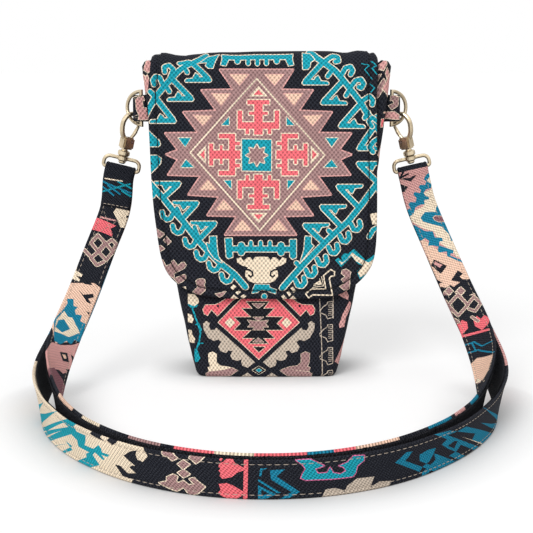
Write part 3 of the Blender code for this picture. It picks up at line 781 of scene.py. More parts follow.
# The four chains: stem, hooks, nubs, and barbs by root and corner
CHAINS = [
    (HIGH_LEFT_STEM,
     [[(169.4, 79.8), (173.4, 69), (169.4, 64.4), (164.4, 66.4), (164.8, 72)],
      [(163.5, 86), (159.6, 77.4), (155.6, 76.6), (153, 80), (154.2, 84.6)], [(155.4, 97), (150, 91.5)],
      [(192, 61.6), (187.4, 59), (179.6, 61.2)]], [[(184, 66), (187.2, 72.4)], [(166, 86), (169.4, 91.6)]],
     [((191.5, 61), (211, 82)), ((172.4, 79.4), (193.2, 101)), ((155.4, 97.4), (175.6, 123))]),
    (HIGH_RIGHT_STEM,
     [[(323.4, 62), (332.6, 55.4), (337.6, 56), (338.4, 60.4), (335.4, 61.2)],
      [(340, 77.4), (345.6, 67.4), (350.4, 66.2), (352.6, 70.6), (350.6, 74.4)],
      [(349.7, 88.4), (355.6, 80.6), (361, 79.4), (363.6, 83.8), (361.4, 88), (358.8, 87)],
      [(360.6, 102), (369.4, 96.2), (372.8, 100), (372.2, 104.6)], [(372, 120), (378, 116), (382, 120)]],
     [[(333, 69), (327.6, 76.4)], [(350, 89), (346, 95.6)], [(368, 112), (364.6, 118)]],
     [((323.2, 61.8), (302.8, 84.6)), ((341.6, 82.4), (321.2, 104.6)), ((360, 104.4), (339, 128)),
      ((374, 127), (357.4, 150.4))]),
    (LOW_LEFT_STEM, hooks_along(LOW_LEFT_STEM, -1, (12,)) + curls(LEFT_CURL, LEFT_ROOTS),
     [[(181, 218), (177, 208.4)], [(199, 240), (194.6, 227)]],
     [((164, 197), (180.4, 181.6)), ((182, 219), (198.4, 201.2)), ((198.5, 240), (216.4, 221.4))]),
    (LOW_RIGHT_STEM, hooks_along(LOW_RIGHT_STEM, 1, (8,)) + curls(RIGHT_CURL, RIGHT_ROOTS),
     [[(333, 234.6), (328.6, 230.4)], [(300.4, 267), (296.2, 262.8)]],
     [((376, 181), (357, 161.8)), ((358, 206.6), (336.8, 184.6)), ((341.6, 227), (320.4, 204.9)),
      ((324.4, 243.4), (303.4, 223.4))])]

# The ram's horn: its left half by distance from its middle, and its curl
HORN_MIDDLE = 261.6
HORN = [(0, 256.6), (6.6, 257), (9, 260.4), (11, 257.2), (14.6, 257.6), (18, 261), (20.6, 257.4),
        (24.8, 258.4), (24.4, 262.6), (19.4, 265.6), (13.6, 267.4), (16, 271), (16.6, 276), (13, 281),
        (7.6, 283), (0, 283.4)]
HORN_CURL = [(17, 269.6), (12.4, 269.8), (9.2, 272), (8.8, 275.4), (11.2, 277), (12.8, 275.2)]

PHOTO = window(0, 0, 1)
FLAP_LOW_LEFT = window(142, 170, 11.88)
FLAP_LOW_RIGHT = window(262, 222, 12.85)

# The flap's other motifs in painter's order: window, colour, rim and its width, and shapes
UPPER_MOTIFS = [
    (PHOTO, "teal", "cream", 0.8, [
        area((200, 61.5), (208, 55), (219, 53.4), (215.4, 60), (212.8, 67.8), (208.3, 67.6), (205.6, 64.8),
             (207, 61.2)),
        area((302.4, 52.6), (309.6, 53.4), (314.4, 59.4), (310.6, 61.8), (310, 66.4), (308, 69),
             (302.8, 69.2)),
        area((209.6, 236.5), (216.4, 236.3), (216.8, 246), (218.2, 256), (222, 262.6), (214, 258),
             (208.4, 250), (206.4, 242.6), (209.8, 244)),
        area((305.2, 236.3), (311.2, 236.6), (311, 243.4), (313.6, 246), (309.6, 251), (304.6, 257),
             (300, 263), (304, 250))]),
    (PHOTO, "teal", None, 0, [
        line(0.9, (361.6, 63.6), (369.6, 65), (364.6, 69.4), (372, 79)),
        line(1.3, (371, 60), (376, 65), (372, 68), (376.6, 74)),
        line(1.1, (370, 84), (374.4, 88), (371, 92))]),
    (PHOTO, "teal", "cream", 0.8, [
        area((142, 130), (148.6, 130.6), (153.4, 135.4), (159.4, 141), (160.4, 144.6), (158.6, 146.4),
             (142, 146.6)),
        area((142, 155.6), (157, 155.4), (161, 158.4), (160.4, 163.4), (156, 168.4), (150.6, 173.4),
             (142, 178))]),
    (PHOTO, "navy", None, 0, [
        area((142, 139), (150, 141.8), (151.4, 143.2), (142, 142.4)),
        area((142, 163), (151.4, 162.2), (152.6, 164), (142, 171))]),
    (PHOTO, "teal", "cream", 0.8, [
        line(4, (381, 124), (372, 117.4), (368.6, 121.4), (372, 126.6)),
        line(4.4, (381, 137), (373.6, 141.6), (369.4, 147.4), (373, 152)),
        line(4.2, (381, 226), (373.4, 229.6), (369, 237))]),
    (PHOTO, "cream", None, 0, [area((370, 214), (380, 212), (380, 224.6), (372.4, 224.4))]),
    (PHOTO, "teal", "cream", 0.8, [
        area((221.6, 53.6), (229.8, 54), (228.2, 60.2), (225.8, 65.4), (220.8, 64.6), (222.4, 58.4)),
        area((292.8, 53.6), (284.6, 54), (286.2, 60.2), (288.6, 65.4), (293.6, 64.6), (292, 58.4)),
        area((226, 54), (288, 54), (288, 58.6), (226, 58.6)), line(5.4, (237.4, 57), (237.4, 60.6)),
        line(4, (248.2, 57), (248.2, 63)), line(4, (257.4, 57), (257.4, 63.4)),
        line(4, (266.4, 57), (266.4, 63)), line(5.4, (276.8, 57), (276.8, 60.6))]),
    (PHOTO, "teal", "cream", 0.8, [
        area((225, 238.4), (232, 238.2), (232.6, 257), (228.6, 258.4), (226.4, 257)),
        area((289.6, 239.6), (296.2, 239.4), (296.2, 257.4), (292.6, 259.2), (290, 257)),
        area((231, 246.2), (291, 246.4), (291, 251.8), (231, 251.6)),
        line(6.8, (241.3, 245.4), (241.3, 252.2)), line(6.8, (281, 245.4), (281, 252.4)),
        line(3.8, (250.8, 242.4), (250.8, 248)), line(3.8, (260.6, 242.4), (260.6, 248)),
        line(3.8, (270, 242.4), (270, 248))])]
LOWER_MOTIFS = [
    (FLAP_LOW_LEFT, "mauve", "cream", 0.45, [
        area((160, 690), (270, 760), (215, 805), (150, 780)),
        area((290, 790), (345, 850), (305, 890), (255, 835)),
        area((180, 905), (225, 895), (270, 935), (190, 985)),
        area((230, 1070), (250, 1070), (285, 1140), (340, 1120), (355, 1085), (375, 1070), (400, 1100),
             (425, 1140), (470, 1100), (500, 1095), (525, 1130), (500, 1170), (440, 1200), (380, 1230),
             (385, 1290), (300, 1240)),
        area((380, 1290), (440, 1265), (500, 1240), (520, 1250), (520, 1290), (490, 1320), (430, 1350)),
        area((640, 1320), (660, 1300), (700, 1290), (745, 1300), (750, 1340), (735, 1360), (755, 1400),
             (750, 1430), (680, 1490), (600, 1450), (660, 1390)),
        area((870, 1470), (930, 1460), (1000, 1440), (960, 1490), (920, 1510))]),
    (FLAP_LOW_LEFT, "cream", None, 0, [
        area((1085, 1360), (1120, 1385), (1080, 1430), (1050, 1395)),
        area((1150, 1425), (1175, 1450), (1135, 1480), (1110, 1455)),
        area((1210, 1475), (1240, 1500), (1200, 1530), (1170, 1500)),
        area((1090, 1480), (1150, 1530), (1020, 1560)),
        area((480, 1390), (520, 1380), (530, 1430), (500, 1440)),
        area((700, 1510), (790, 1530), (780, 1560), (720, 1545))]),
    (FLAP_LOW_RIGHT, "cream", None, 0, [
        area((365, 850), (400, 830), (440, 890), (405, 910)),
        area((315, 905), (345, 880), (375, 930), (350, 955)),
        area((245, 955), (275, 930), (320, 980), (290, 1010)), area((340, 1000), (400, 945), (455, 1005))]),
    (FLAP_LOW_RIGHT, "teal", "cream", 0.5, [
        area((-90, 800), (95, 805), (100, 840), (185, 870), (175, 920), (120, 905), (60, 885), (0, 870),
             (-60, 905), (-130, 915), (-120, 870))]),
    (PHOTO, "teal", "cream", 0.6, [area(*disc((264.3, 296.4), 2.8))]),
    (FLAP_LOW_RIGHT, "cream", None, 0, [
        line(1.3, (905, 935), (865, 730), (880, 700), (930, 690), (935, 640), (885, 610), (790, 690),
             (820, 860), (640, 860), (560, 920), (600, 975), (650, 935), (905, 940)),
        line(0.6, (765, 700), (790, 820), (650, 840)), line(0.6, (740, 730), (765, 800), (660, 815))]),
    (FLAP_LOW_RIGHT, "cream", None, 0, [area((660, 800), (745, 750), (755, 800))]),
    (FLAP_LOW_RIGHT, "mauve", "cream", 0.5, [
        area((1030, 620), (1080, 605), (1140, 640), (1130, 700), (1125, 790), (1120, 870), (1050, 870),
             (1000, 830), (1060, 790), (1020, 740), (1070, 700), (1020, 660))]),
    (FLAP_LOW_RIGHT, "teal", None, 0, [
        area((940, 490), (980, 460), (1030, 500), (1020, 440), (1060, 400), (1100, 410), (1180, 345),
             (1340, 495), (1440, 420), (1500, 480), (1400, 640), (1260, 740), (1215, 640), (1290, 560),
             (1240, 540), (1180, 480), (1150, 440), (1020, 580))]),
    (FLAP_LOW_RIGHT, "cream", None, 0, [
        area((985, 500), (1040, 520), (1100, 470), (1160, 390), (1220, 440), (1320, 500), (1370, 520),
             (1430, 480), (1440, 520), (1350, 660), (1260, 710), (1230, 640), (1300, 560), (1240, 520),
             (1200, 500), (1150, 430), (1020, 550))])]

# Above this row of the photograph the flap bends over its fold, so outlines there get points this often
FOLD_ROW = 76
FOLD_STEP = 12


def paint_medallion(pixels):
    """The mauve star with its teeth, the cream diamond, the coral combs and the teal square."""
    medallion = area(*from_axis([(-dx, py) for dx, py in MEDALLION] + MEDALLION[::-1]))
    paint(pixels, [medallion], "mauve", "rose", 1.3)
    for tooth in PEACH_TEETH:
        paint(pixels, both_sides(area(*from_axis(tooth))), "peach", "rose", 0.7)
    diamond = loop(1.5, (190, 152.6), (256.9, 78.5), (324.6, 155), (259.8, 230.4))
    paint(pixels, [diamond], "cream")
    for tooth in TEAL_TEETH:
        paint(pixels, both_sides(area(*from_axis(tooth))), "teal", "cream", 0.8)
    for quarter in range(4):
        scale = 1 if quarter % 2 == 0 else 0.9
        bars = [area(*turned([(a, c), (b, c), (b, d), (a, d)], quarter, scale)) for a, b, c, d in COMB]
        paint(pixels, bars, "coral", "cream", 1.1)
        paint(pixels, [area(*turned([(68.5, 0), (58.2, -9.4), (58.2, 9.4)], quarter, scale))], "cream")
        paint(pixels, [area(*turned([(65, 0), (59.8, -4.8), (59.8, 4.8)], quarter, scale))], "coral")
    paint(pixels, [area((242, 139.2), (271.4, 139.8), (271.2, 171.2), (242, 170.6))], "teal", "cream", 0.9)
    star = []
    for k in range(16):
        reach = 10.8 if k % 2 == 0 else 6.6
        star.append((256.8 + reach * cos(pi * k / 8), 155.3 + reach * sin(pi * k / 8)))
    paint(pixels, [area(*star)], "mauve", "cream", 0.9)


def paint_motifs(pixels, motifs):
    for view, colour, rim, edge, shapes in motifs:
        paint(pixels, [moved(shape, view) for shape in shapes], colour, rim, edge)


def flap_print():
    """The flap's pattern, in painter's order: medallion, hook chains, combs, ram's horn and lower corners."""
    pixels = []
    paint_medallion(pixels)
    for chain in CHAINS:
        paint(pixels, hook_chain(*chain), "teal", "cream", 0.85)
    paint_motifs(pixels, UPPER_MOTIFS)
    right_half = [(HORN_MIDDLE + dx, py) for dx, py in HORN[-2:0:-1]]
    paint(pixels, [area(*[(HORN_MIDDLE - dx, py) for dx, py in HORN], *right_half)], "cream")
    for side in (-1, 1):
        paint(pixels, [line(1.7, *[(HORN_MIDDLE + side * dx, py) for dx, py in HORN_CURL])], "navy")
    paint_motifs(pixels, LOWER_MOTIFS)

    layers = []
    for colour, part in pixels:
        dense = []
        for (ax, ay), (bx, by) in zip(part, part[1:] + part[:1]):
            pieces = 1 + int(hypot(bx - ax, by - ay) / FOLD_STEP) if min(ay, by) < FOLD_ROW else 1
            dense.extend((ax + (bx - ax) * k / pieces, ay + (by - ay) * k / pieces) for k in range(pieces))
        layers.append((colour, flap_flat(dense)))
    back = [area((x - 6, 226), (x, 219), (x + 6, 226), (x, 233)) for x in range(-60, 68, 15)]
    paint(layers, back, "mauve", "cream", 0.6)
    paint(layers, [line(2, (FLAP_LEFT, 211), (FLAP_RIGHT, 211))], "teal", "cream", 0.5)
    return layers


def build_flap(canvas, lining_cloth, thread):
    left = [tuple(p) for p in curve(flap_flat(FLAP_EDGE_LEFT), 3)]
    right = [tuple(p) for p in curve(flap_flat(FLAP_EDGE_RIGHT), 3)]
    free = [(FLAP_LEFT, FLAP_END), (FLAP_LEFT, 215), (FLAP_LEFT, POUCH_HEIGHT), *left, *right,
            (FLAP_RIGHT, POUCH_HEIGHT), (FLAP_RIGHT, 215), (FLAP_RIGHT, FLAP_END)]
    distance = rim_distance(free)

    def relief(x, w):
        d = distance(x, w)
        lift = -0.75 * max(0, 1 - d / 0.9) ** 2
        lift += 0.7 * bell(d - FLAP_ROLL, 1.5)
        lift -= 0.85 * bell(d - FLAP_GROOVE, 0.75)
        lift += 0.35 * bell(d - FLAP_RIDGE, 1.2) * (1 + noise.noise(Vector((x, w, 3)) * 0.35))
        lift += 0.45 * noise.noise(Vector((x, w, 0)) * 0.045)
        fold_near = bell(w - POUCH_HEIGHT - 6, 14)
        lift += 0.5 * fold_near * noise.noise(Vector((x * 0.09, w * 0.05, 5)))
        return lift

    guides = grid(FLAP_LEFT, FLAP_RIGHT, POUCH_HEIGHT - 3, FLAP_END, 3, 2.1)
    guides += grid(FLAP_LEFT, FLAP_RIGHT, FLAP_TIP, POUCH_HEIGHT - 3, 3, 3)
    steps = (0.45, 0.9, 1.6, FLAP_ROLL, 3.2, 4.1, FLAP_GROOVE, 5.7, FLAP_RIDGE, 7.6)
    guides += [inset(free, d, False) for d in steps]
    layers = flap_print()
    groove = inset(free, FLAP_GROOVE, False)
    # A thin ink line along the groove, under the stitches: painted shade in the seam's groove.
    paint(layers, [line(0.5, *groove[2:-2])], "ink")
    flat, triangles, colours = cut_sheet(free, layers, guides, "navy")
    cloth = lay("flap_cloth", flat, triangles, colours, flap_place, relief, FLAP_CLOTH, canvas)
    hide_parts("flap")
    stitches("flap_stitches", [groove], flap_place, 2.7, 0.9, 0.19, -0.35, thread)
    inner = inset(free, FACING_INSET, False)
    guides = grid(FLAP_LEFT, FLAP_RIGHT, FLAP_TIP, FLAP_END, 8, 3)
    flat, triangles, colours = cut_sheet(inner, [], guides, "ink")
    depth = FLAP_CLOTH + FIT + FACING_SHIFT
    facing = lay("flap_lining", flat, triangles, colours, lambda x, w: flap_place(x, w, depth), smooth,
                 FACING - FACING_SHIFT, lining_cloth)
    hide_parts("flap_facing")


# The pouch's surface and print


def pouch_sides(w, lift=0.0):
    """Half width, half depth and corner radius at height w, and the length round."""
    tuck = 0.0
    if w < FOOT_ROUND:
        tuck = FOOT_ROUND * 0.6 * (1 - sqrt(max(0, 1 - (1 - w / FOOT_ROUND) ** 2)))
    wide = half_width(w) + lift - tuck
    deep = half_depth(w) + lift - tuck
    corner = min(CORNER_RADIUS, (half_depth(w) - tuck) * 0.9) + lift
    return wide, deep, corner, 4 * (wide - corner) + 4 * (deep - corner) + 2 * pi * corner


REFERENCE_ROUND = pouch_sides(90)[3]


def pouch_place(s, w, lift=0.0):
    """The pouch's outer face, s being the distance round from the middle of the front at a standard girth."""
    height = w
    w = min(POUCH_HEIGHT, max(0, w))
    wide, deep, corner, girth = pouch_sides(w, lift)
    side = 1 if s >= 0 else -1
    d = abs(s) / REFERENCE_ROUND * girth
    a = wide - corner
    c = pi * corner / 2
    b = 2 * (deep - corner)
    if d < a:
        x, y = d, -deep - PANEL_BULGE * (1 - (d / a) ** 2)
    elif d < a + c:
        turn = (d - a) / corner
        x, y = a + corner * sin(turn), -(deep - corner) - corner * cos(turn)
    elif d < a + c + b:
        x, y = wide, -(deep - corner) + (d - a - c)
    elif d < a + 2 * c + b:
        turn = (d - a - c - b) / corner
        x, y = a + corner * cos(turn), deep - corner + corner * sin(turn)
    else:
        d -= a + 2 * c + b
        x, y = a - d, deep + PANEL_BULGE * (1 - ((a - d) / a) ** 2)
    z = height
    ear = max(0, min(1, (x - EAR_FROM) / EAR_WIDTH)) if w > 100 else 0
    z += EAR_RISE * ear * ear * (3 - 2 * ear) * max(0, (height - EAR_FOOT) / (POUCH_HEIGHT - EAR_FOOT)) ** 2
    corner_share = max(0, (x - CORNER_FROM) / CORNER_WIDTH)
    z -= CORNER_DROP * corner_share ** 2 * max(0, (height - CORNER_FOOT) / (POUCH_HEIGHT - CORNER_FOOT)) ** 2
    return Vector((side * x, y, z))


def pouch_flat(points):
    """Photo pixels on the pouch's front as places on its flat cloth."""
    spots = []
    foot = (-half_depth(0) - PANEL_BULGE, 0)
    mouth = (-half_depth(POUCH_HEIGHT) - PANEL_BULGE, POUCH_HEIGHT)
    for px, py in points:
        x, z = on_leaning_plane(px, py, foot, mouth)
        spots.append((x * REFERENCE_ROUND / pouch_sides(z)[3], z))
    return spots


# The enlarged part of the photograph that shows the pouch's front, and outlines read in it
FRONT = window(190, 292, 9.116)


def mirror_front(points):
    return [(1256 - x, y) for x, y in points]


CORAL_BIRD = [(440, 42), (385, 80), (250, 218), (195, 160), (160, 215), (130, 200), (118, 160), (140, 120),
              (190, 118), (235, 115), (270, 100), (330, 60), (380, 20)]
STEPPED = [(515, 88), (718, 88), (668, 150), (765, 148), (690, 225), (848, 228), (790, 285), (850, 345),
           (690, 345), (770, 420), (665, 420), (712, 468), (535, 468), (590, 420), (480, 420), (560, 348),
           (405, 345), (462, 285), (405, 230), (560, 228), (475, 150), (570, 150)]
WING = [(240, 325), (592, 640), (525, 690), (478, 672), (466, 640), (476, 612), (430, 628), (385, 614),
        (368, 580), (386, 540), (350, 532), (330, 556), (280, 542), (256, 502), (286, 456), (258, 434),
        (215, 448), (165, 420), (125, 350), (118, 290), (150, 265), (182, 285), (172, 312), (190, 348),
        (225, 345)]
BOOT = [(165, 560), (205, 545), (245, 565), (243, 640), (275, 672), (345, 680), (380, 690), (300, 712),
        (170, 725), (160, 690), (185, 680), (168, 640)]
SOLE = [(175, 728), (300, 714), (380, 690), (437, 716), (370, 765), (245, 778), (160, 778), (145, 745)]
LEG = [
    [(1350, 30), (1440, 76), (1448, 40), (1420, -30), (1350, -20)],
    [(1455, 90), (1395, 200), (1360, 300), (1364, 332), (1412, 324), (1426, 240), (1478, 150), (1480, 110)],
    [(1440, 430), (1380, 530), (1320, 640), (1378, 676), (1440, 560), (1500, 470)]]

# Outlines on the mouth's corners beside the flap, in the photograph's own pixels
EAR_ROSE = [
    [(377, 57), (381, 58), (385, 62), (388, 66), (384, 72), (376, 66)],
    [(386, 74), (388, 70), (391, 73), (389, 81)], [(141, 70), (146, 64), (154, 62), (155, 70), (147, 74)],
    [(141, 78), (147, 76), (150, 83), (144, 92), (141, 88)]]
EAR_MAUVE = [
    [(376, 71), (381.5, 75), (376, 79)], [(376, 84.6), (384.5, 78.9), (388, 84), (379.4, 92.7), (376, 92)]]
EAR_CORAL = [
    [(385, 108), (388.5, 108), (387, 117.5), (384.2, 117.5)],
    [(381.8, 123), (385.4, 123), (384, 130), (381, 130)]]


CORAL_DIAMOND = [(627, -90), (995, 278), (627, 612), (258, 278)]
STEPPED_INSIDE = [
    [(565, 105), (680, 105), (622, 150)], [(575, 228), (670, 228), (622, 262)],
    [(575, 455), (672, 455), (622, 418)],
    [(525, 255), (595, 264), (650, 264), (715, 255), (688, 290), (715, 318), (655, 318), (680, 345),
     (570, 345), (592, 318), (525, 318), (552, 290)]]
BORDER_FIGURE = [(1182, 380), (1215, 340), (1250, 318), (1256, 298), (1300, 294), (1302, 440), (1255, 452),
                 (1240, 418), (1186, 395)]
VINE = [(1.6, [(20, 150), (70, 290), (96, 370), (84, 450), (56, 540), (45, 640)]),
        (1, [(50, 300), (80, 290), (104, 345), (88, 380)]), (1, [(60, 520), (92, 470), (118, 470)])]
LEAVES = [[(44, 520), (72, 540), (95, 606), (72, 640), (38, 652), (40, 590)],
          [(-20, 60), (30, 100), (75, 120), (60, 140), (10, 150), (-20, 120)]]
BLOBS = [[(-20, 20), (40, 22), (76, 60), (82, 100), (40, 132), (-20, 110)],
         [(-20, 200), (14, 210), (32, 250), (22, 285), (-20, 280)],
         [(-20, 350), (16, 352), (22, 392), (48, 430), (40, 470), (-20, 470)]]

# A stepped diamond of the back, and a plain one, as shares of their size
BACK_STEPS = [(-1, 0), (-0.62, 0.26), (-0.62, 0.56), (-0.26, 0.56), (0, 1), (0.26, 0.56), (0.62, 0.56),
              (0.62, 0.26), (1, 0), (0.62, -0.26), (0.62, -0.56), (0.26, -0.56), (0, -1), (-0.26, -0.56),
              (-0.62, -0.56), (-0.62, -0.26)]
PLAIN_DIAMOND = [(-1, 0), (0, 1), (1, 0), (0, -1)]


def front_print():
    """The front's pattern in photo pixels: birds, coral diamond, wings, border, vine and blobs."""
    pixels = []

    def put(outlines, colour, rim=None, edge=0.5):
        paint(pixels, areas(FRONT, outlines), colour, rim, edge)

    for bird, eye in ((CORAL_BIRD, (256, 128)), (mirror_front(CORAL_BIRD), (1000, 128))):
        put([bird], "coral", "cream")
        put([disc(eye, 12)], "navy")
    put([CORAL_DIAMOND], "coral", "cream", 0.6)
    put([STEPPED], "ink", "cream")
    for points in STEPPED_INSIDE:
        put([points], "mauve", "cream", 0.35)
    put([[(578, 500), (685, 500), (628, 548)]], "ink", "cream")
    put([disc((x, 280), 48, 4) for x in (365, 880)], "cream")
    put([WING, mirror_front(WING)], "taupe")
    put([BOOT], "cream")
    put([SOLE, mirror_front(SOLE), mirror_front(BOOT)], "mauve", "cream", 0.3)
    put([[(566, 713), (628, 675), (690, 713), (628, 751)]], "ink", "cream", 0.4)
    put([[(600, 713), (628, 694), (660, 713), (628, 732)]], "teal", "taupe", 0.3)
    put([[(x - 68, 785), (x, 735), (x + 68, 785)] for x in (525, 745)], "taupe")
    border = [line(0.8, *FRONT([(1180, 40), (1180, 790)])), line(0.8, *FRONT([(1306, 40), (1306, 240)]))]
    for shift in range(-205, 426, 210):
        border.append(line(0.8, *FRONT([(x, y + shift) for x, y in BORDER_FIGURE])))
        for top in range(318 + shift, 421 + shift, 17):
            border.append(line(0.55, *FRONT([(1262, top), (1300, top - 4)])))
    paint(pixels, border, "taupe")
    put(LEG, "rose")
    paint(pixels, [line(width, *FRONT(points)) for width, points in VINE] + areas(FRONT, LEAVES), "teal")
    put(BLOBS, "cream")
    return pixels


def pouch_print():
    """The pouch's kilim pattern: the front's, the ears', and bands of diamonds and hooks round the rest."""
    layers = [(colour, pouch_flat(part)) for colour, part in front_print()]
    for colour, patches in (("rose", EAR_ROSE), ("mauve", EAR_MAUVE), ("coral", EAR_CORAL)):
        ears = [area(*[(x, z - 5.5 if z > 165 else z) for x, z in pouch_flat(patch)]) for patch in patches]
        paint(layers, ears, colour, "cream", 0.35)

    round_half = REFERENCE_ROUND / 2
    middle = REFERENCE_ROUND / 4
    for side in (-1, 1):
        for k, z in enumerate(range(176, 31, -18)):
            x = side * (middle + (3 if k % 2 else -4))
            paint(layers, [area((x - 7, z - 3), (x - 1, z + 6), (x + 4, z + 3), (x - 2, z - 7))], "rose",
                  "cream", 0.5)
            arrow = line(2.4, (x + 8 * side, z + 5), (x + 12 * side, z), (x + 8 * side, z - 6))
            paint(layers, [arrow], ("teal", "coral", "mauve")[k % 3], "cream", 0.4)
    for shift in (0, REFERENCE_ROUND):
        for row, z in enumerate((148, 106, 64, 24)):
            size = 20 - 2 * row
            for x in (round_half - 38, round_half, round_half + 38):
                colour = ("coral", "mauve", "teal", "taupe")[(row + round(x / 38)) % 4]
                centre = x - shift
                outer = [(centre + size * dx * 0.82, z + size * dz) for dx, dz in BACK_STEPS]
                paint(layers, [area(*outer)], colour, "cream", 0.6)
                inner = [(centre + size * dx * 0.42, z + size * dz * 0.42) for dx, dz in PLAIN_DIAMOND]
                paint(layers, [area(*inner)], "ink", "cream", 0.5)
                paint(layers, [area(*disc((centre, z), size * 0.14, 4))], "peach")
                for dx in (-1, 1):
                    hook = line(1.6, (centre + dx * 19, z + size * 0.6), (centre + dx * 14, z + size * 0.95),
                                (centre + dx * 9, z + size * 0.9))
                    paint(layers, [hook], "teal", "cream", 0.35)
    return layers


def build_pouch(canvas, lining_cloth):
    half = REFERENCE_ROUND / 2
    outline = [(-half, 0), (half, 0), (half, POUCH_HEIGHT), (-half, POUCH_HEIGHT)]
    seam = REFERENCE_ROUND / 4

    def relief(s, w):
        d = abs(abs(s) - seam)
        lift = -0.5 * bell(d, 0.9)
        lift += 0.25 * bell(d - 2.6, 1.2)
        round_off = min(1, w / 12, (POUCH_HEIGHT - w) / 12 + 0.15)
        turn = 2 * pi * s / REFERENCE_ROUND
        place = Vector((3.2 * cos(turn), 3.2 * sin(turn), w * 0.04))
        lift += round_off * (0.35 + 0.5 * noise.noise(place) + 0.25 * noise.noise(place * 2.7))
        lift += 0.5 * bell(w - 8, 5.48) * noise.noise(Vector((6 * cos(turn), 6 * sin(turn), 9)))
        if w > FLAP_TIP:
            lift = min(lift, 0.45)
        return lift

    guides = grid(-half, half, 0, POUCH_HEIGHT, 3, 3.2)
    guides += [[(-half, z), (half, z)] for z in (0.4, 0.9, 1.6, 2.3)]
    folds = [side * (seam + d) for side in (-1, 1) for d in (-1.6, -0.8, 0, 0.8, 1.6)]
    guides += [[(s, 0), (s, POUCH_HEIGHT)] for s in folds]
    flat, triangles, colours = cut_sheet(outline, pouch_print(), guides, "navy")
    cloth = lay("pouch_cloth", flat, triangles, colours, pouch_place, relief, 0, canvas)
    bm = bmesh.new()
    bm.from_mesh(cloth.data)
    bmesh.ops.remove_doubles(bm, verts=bm.verts, dist=0.02 * MM)
    paints = bm.loops.layers.float_color["print"]
    weave_map = bm.loops.layers.uv["flat"]
    rim = [edge for edge in bm.edges if edge.is_boundary and all(v.co.z < 0.2 * MM for v in edge.verts)]
    made = bmesh.ops.triangle_fill(bm, edges=rim, use_beauty=True, normal=(0, 0, -1))
    for face in (piece for piece in made["geom"] if isinstance(piece, bmesh.types.BMFace)):
        face.smooth = True
        for corner in face.loops:
            corner[paints] = (*linear("navy"), 1)
            corner[weave_map].uv = corner.vert.co.xy
    bmesh.ops.recalc_face_normals(bm, faces=bm.faces)
    bm.to_mesh(cloth.data)
    bm.free()
    solid = cloth.modifiers.new("thickness", "SOLIDIFY")
    solid.thickness = CANVAS * MM
    solid.offset = -1
    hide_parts("outer_shell")

    top = POUCH_HEIGHT - 2
    outline = [(-half, 1), (half, 1), (half, top), (-half, top)]
    flat, triangles, colours = cut_sheet(outline, [], grid(-half, half, 1, top, 6, 9), "ink")
    raised = Vector((0, 0, 0.6))
    inner = lay("lining_cloth", flat, triangles, colours,
                lambda s, w: pouch_place(s, w, -LINING_GAP) + raised, smooth, 0.5, lining_cloth)
    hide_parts("lining")


# Tabs


def build_tab(side, canvas, thread):
    """A strip folded round the D-ring's bar, printed on its face and stitched near both edges."""
    name = "left" if side < 0 else "right"
    outer = WIRE + FIT + TAB_CLOTH
    start = half_width(TAB_MIDDLE) + FIT
    run = TAB_REACH - outer
    turn_length = pi * outer
    total = 2 * run + turn_length

    def place(u, v):
        seam = half_width(TAB_MIDDLE + v) + FIT - start
        u = u if side > 0 else total - u
        if u < run:
            x, y = u, -outer
        elif u < run + turn_length:
            turn = (u - run) / outer
            x, y = run + outer * sin(turn), -outer * cos(turn)
        else:
            x, y = total - u, outer
        x += seam * (1 - x / TAB_REACH)
        pinch = 1 - 0.03 * (x / TAB_REACH)
        return Vector((side * (start + x), y, TAB_MIDDLE + v * pinch))

    tall = TAB_HEIGHT / 2
    layers = []
    if side < 0:
        view = window(128, 48, 19.125)
        motifs = [
            ("rose", [(150, 980), (200, 940), (320, 920), (330, 1000), (290, 1010), (290, 1140), (360, 1150),
                      (390, 1340), (330, 1370), (190, 1375), (200, 1280), (160, 1180)])]
        lines = [
            ("cream", 0.45, [(60, 945), (190, 915), (320, 880)]),
            ("taupe", 0.35, [(110, 1310), (185, 1280)])]
        specks = [("teal", (60 + 42 * k, 880 - 8 * k)) for k in range(6)]
        specks += [("cream", (85 + 42 * k, 868 - 8 * k)) for k in range(5)]
    else:
        view = window(368, 42, 16.68)
        motifs = [
            ("mauve", [(360, 900), (420, 885), (510, 920), (500, 1060), (400, 1130), (335, 1060), (430, 1020),
                       (400, 970), (360, 980)]),
            ("rose", [(290, 1170), (440, 1160), (540, 1230), (530, 1300), (380, 1280), (290, 1270)])]
        lines = [("cream", 0.45, [(390, 880), (480, 895), (560, 915)])]
        specks = [("sea", (400 + 34 * k, 830 + 12 * k)) for k in range(5)]

    def tab_flat(points):
        spots = []
        for px, py in view(points):
            x, z = on_leaning_plane(px, py, (-outer, 0), (-outer, 1))
            u = side * x - start
            spots.append((u if side > 0 else total - u, z - TAB_MIDDLE))
        return spots

    for colour, points in motifs:
        paint(layers, [area(*tab_flat(points))], colour, "cream", 0.3)
    for colour, width, points in lines:
        paint(layers, [line(width, *tab_flat(points))], colour)
    for colour, spot in specks:
        paint(layers, [area(*disc(tab_flat([spot])[0], 0.55, 5))], colour)
    outline = [(0, -tall), (total, -tall), (total, tall), (0, tall)]

    def relief(u, v):
        return sewn_edge(tall - abs(v), 0.4, 0.7, 1.2, 0.2)

    rows = [s * (tall - d) for s in (-1, 1) for d in (0.35, 0.8, 1.6, EDGE_SEAM, 2.7)]
    guides = grid(0, total, -tall, tall, 1.2, 1.4) + [[(0, v), (total, v)] for v in rows]
    flat, triangles, colours = cut_sheet(outline, layers, guides, "navy")
    cloth = lay(name + "_tab_cloth", flat, triangles, colours, place, relief, TAB_CLOTH, canvas)
    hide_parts(name + "_tab")
    seams = [[(0.5, s * (tall - EDGE_SEAM)), (total - 0.5, s * (tall - EDGE_SEAM))] for s in (-1, 1)]
    stitches(name + "_tab_stitches", seams, place, 2, 0.8, 0.14, -0.1, thread)


# Strap


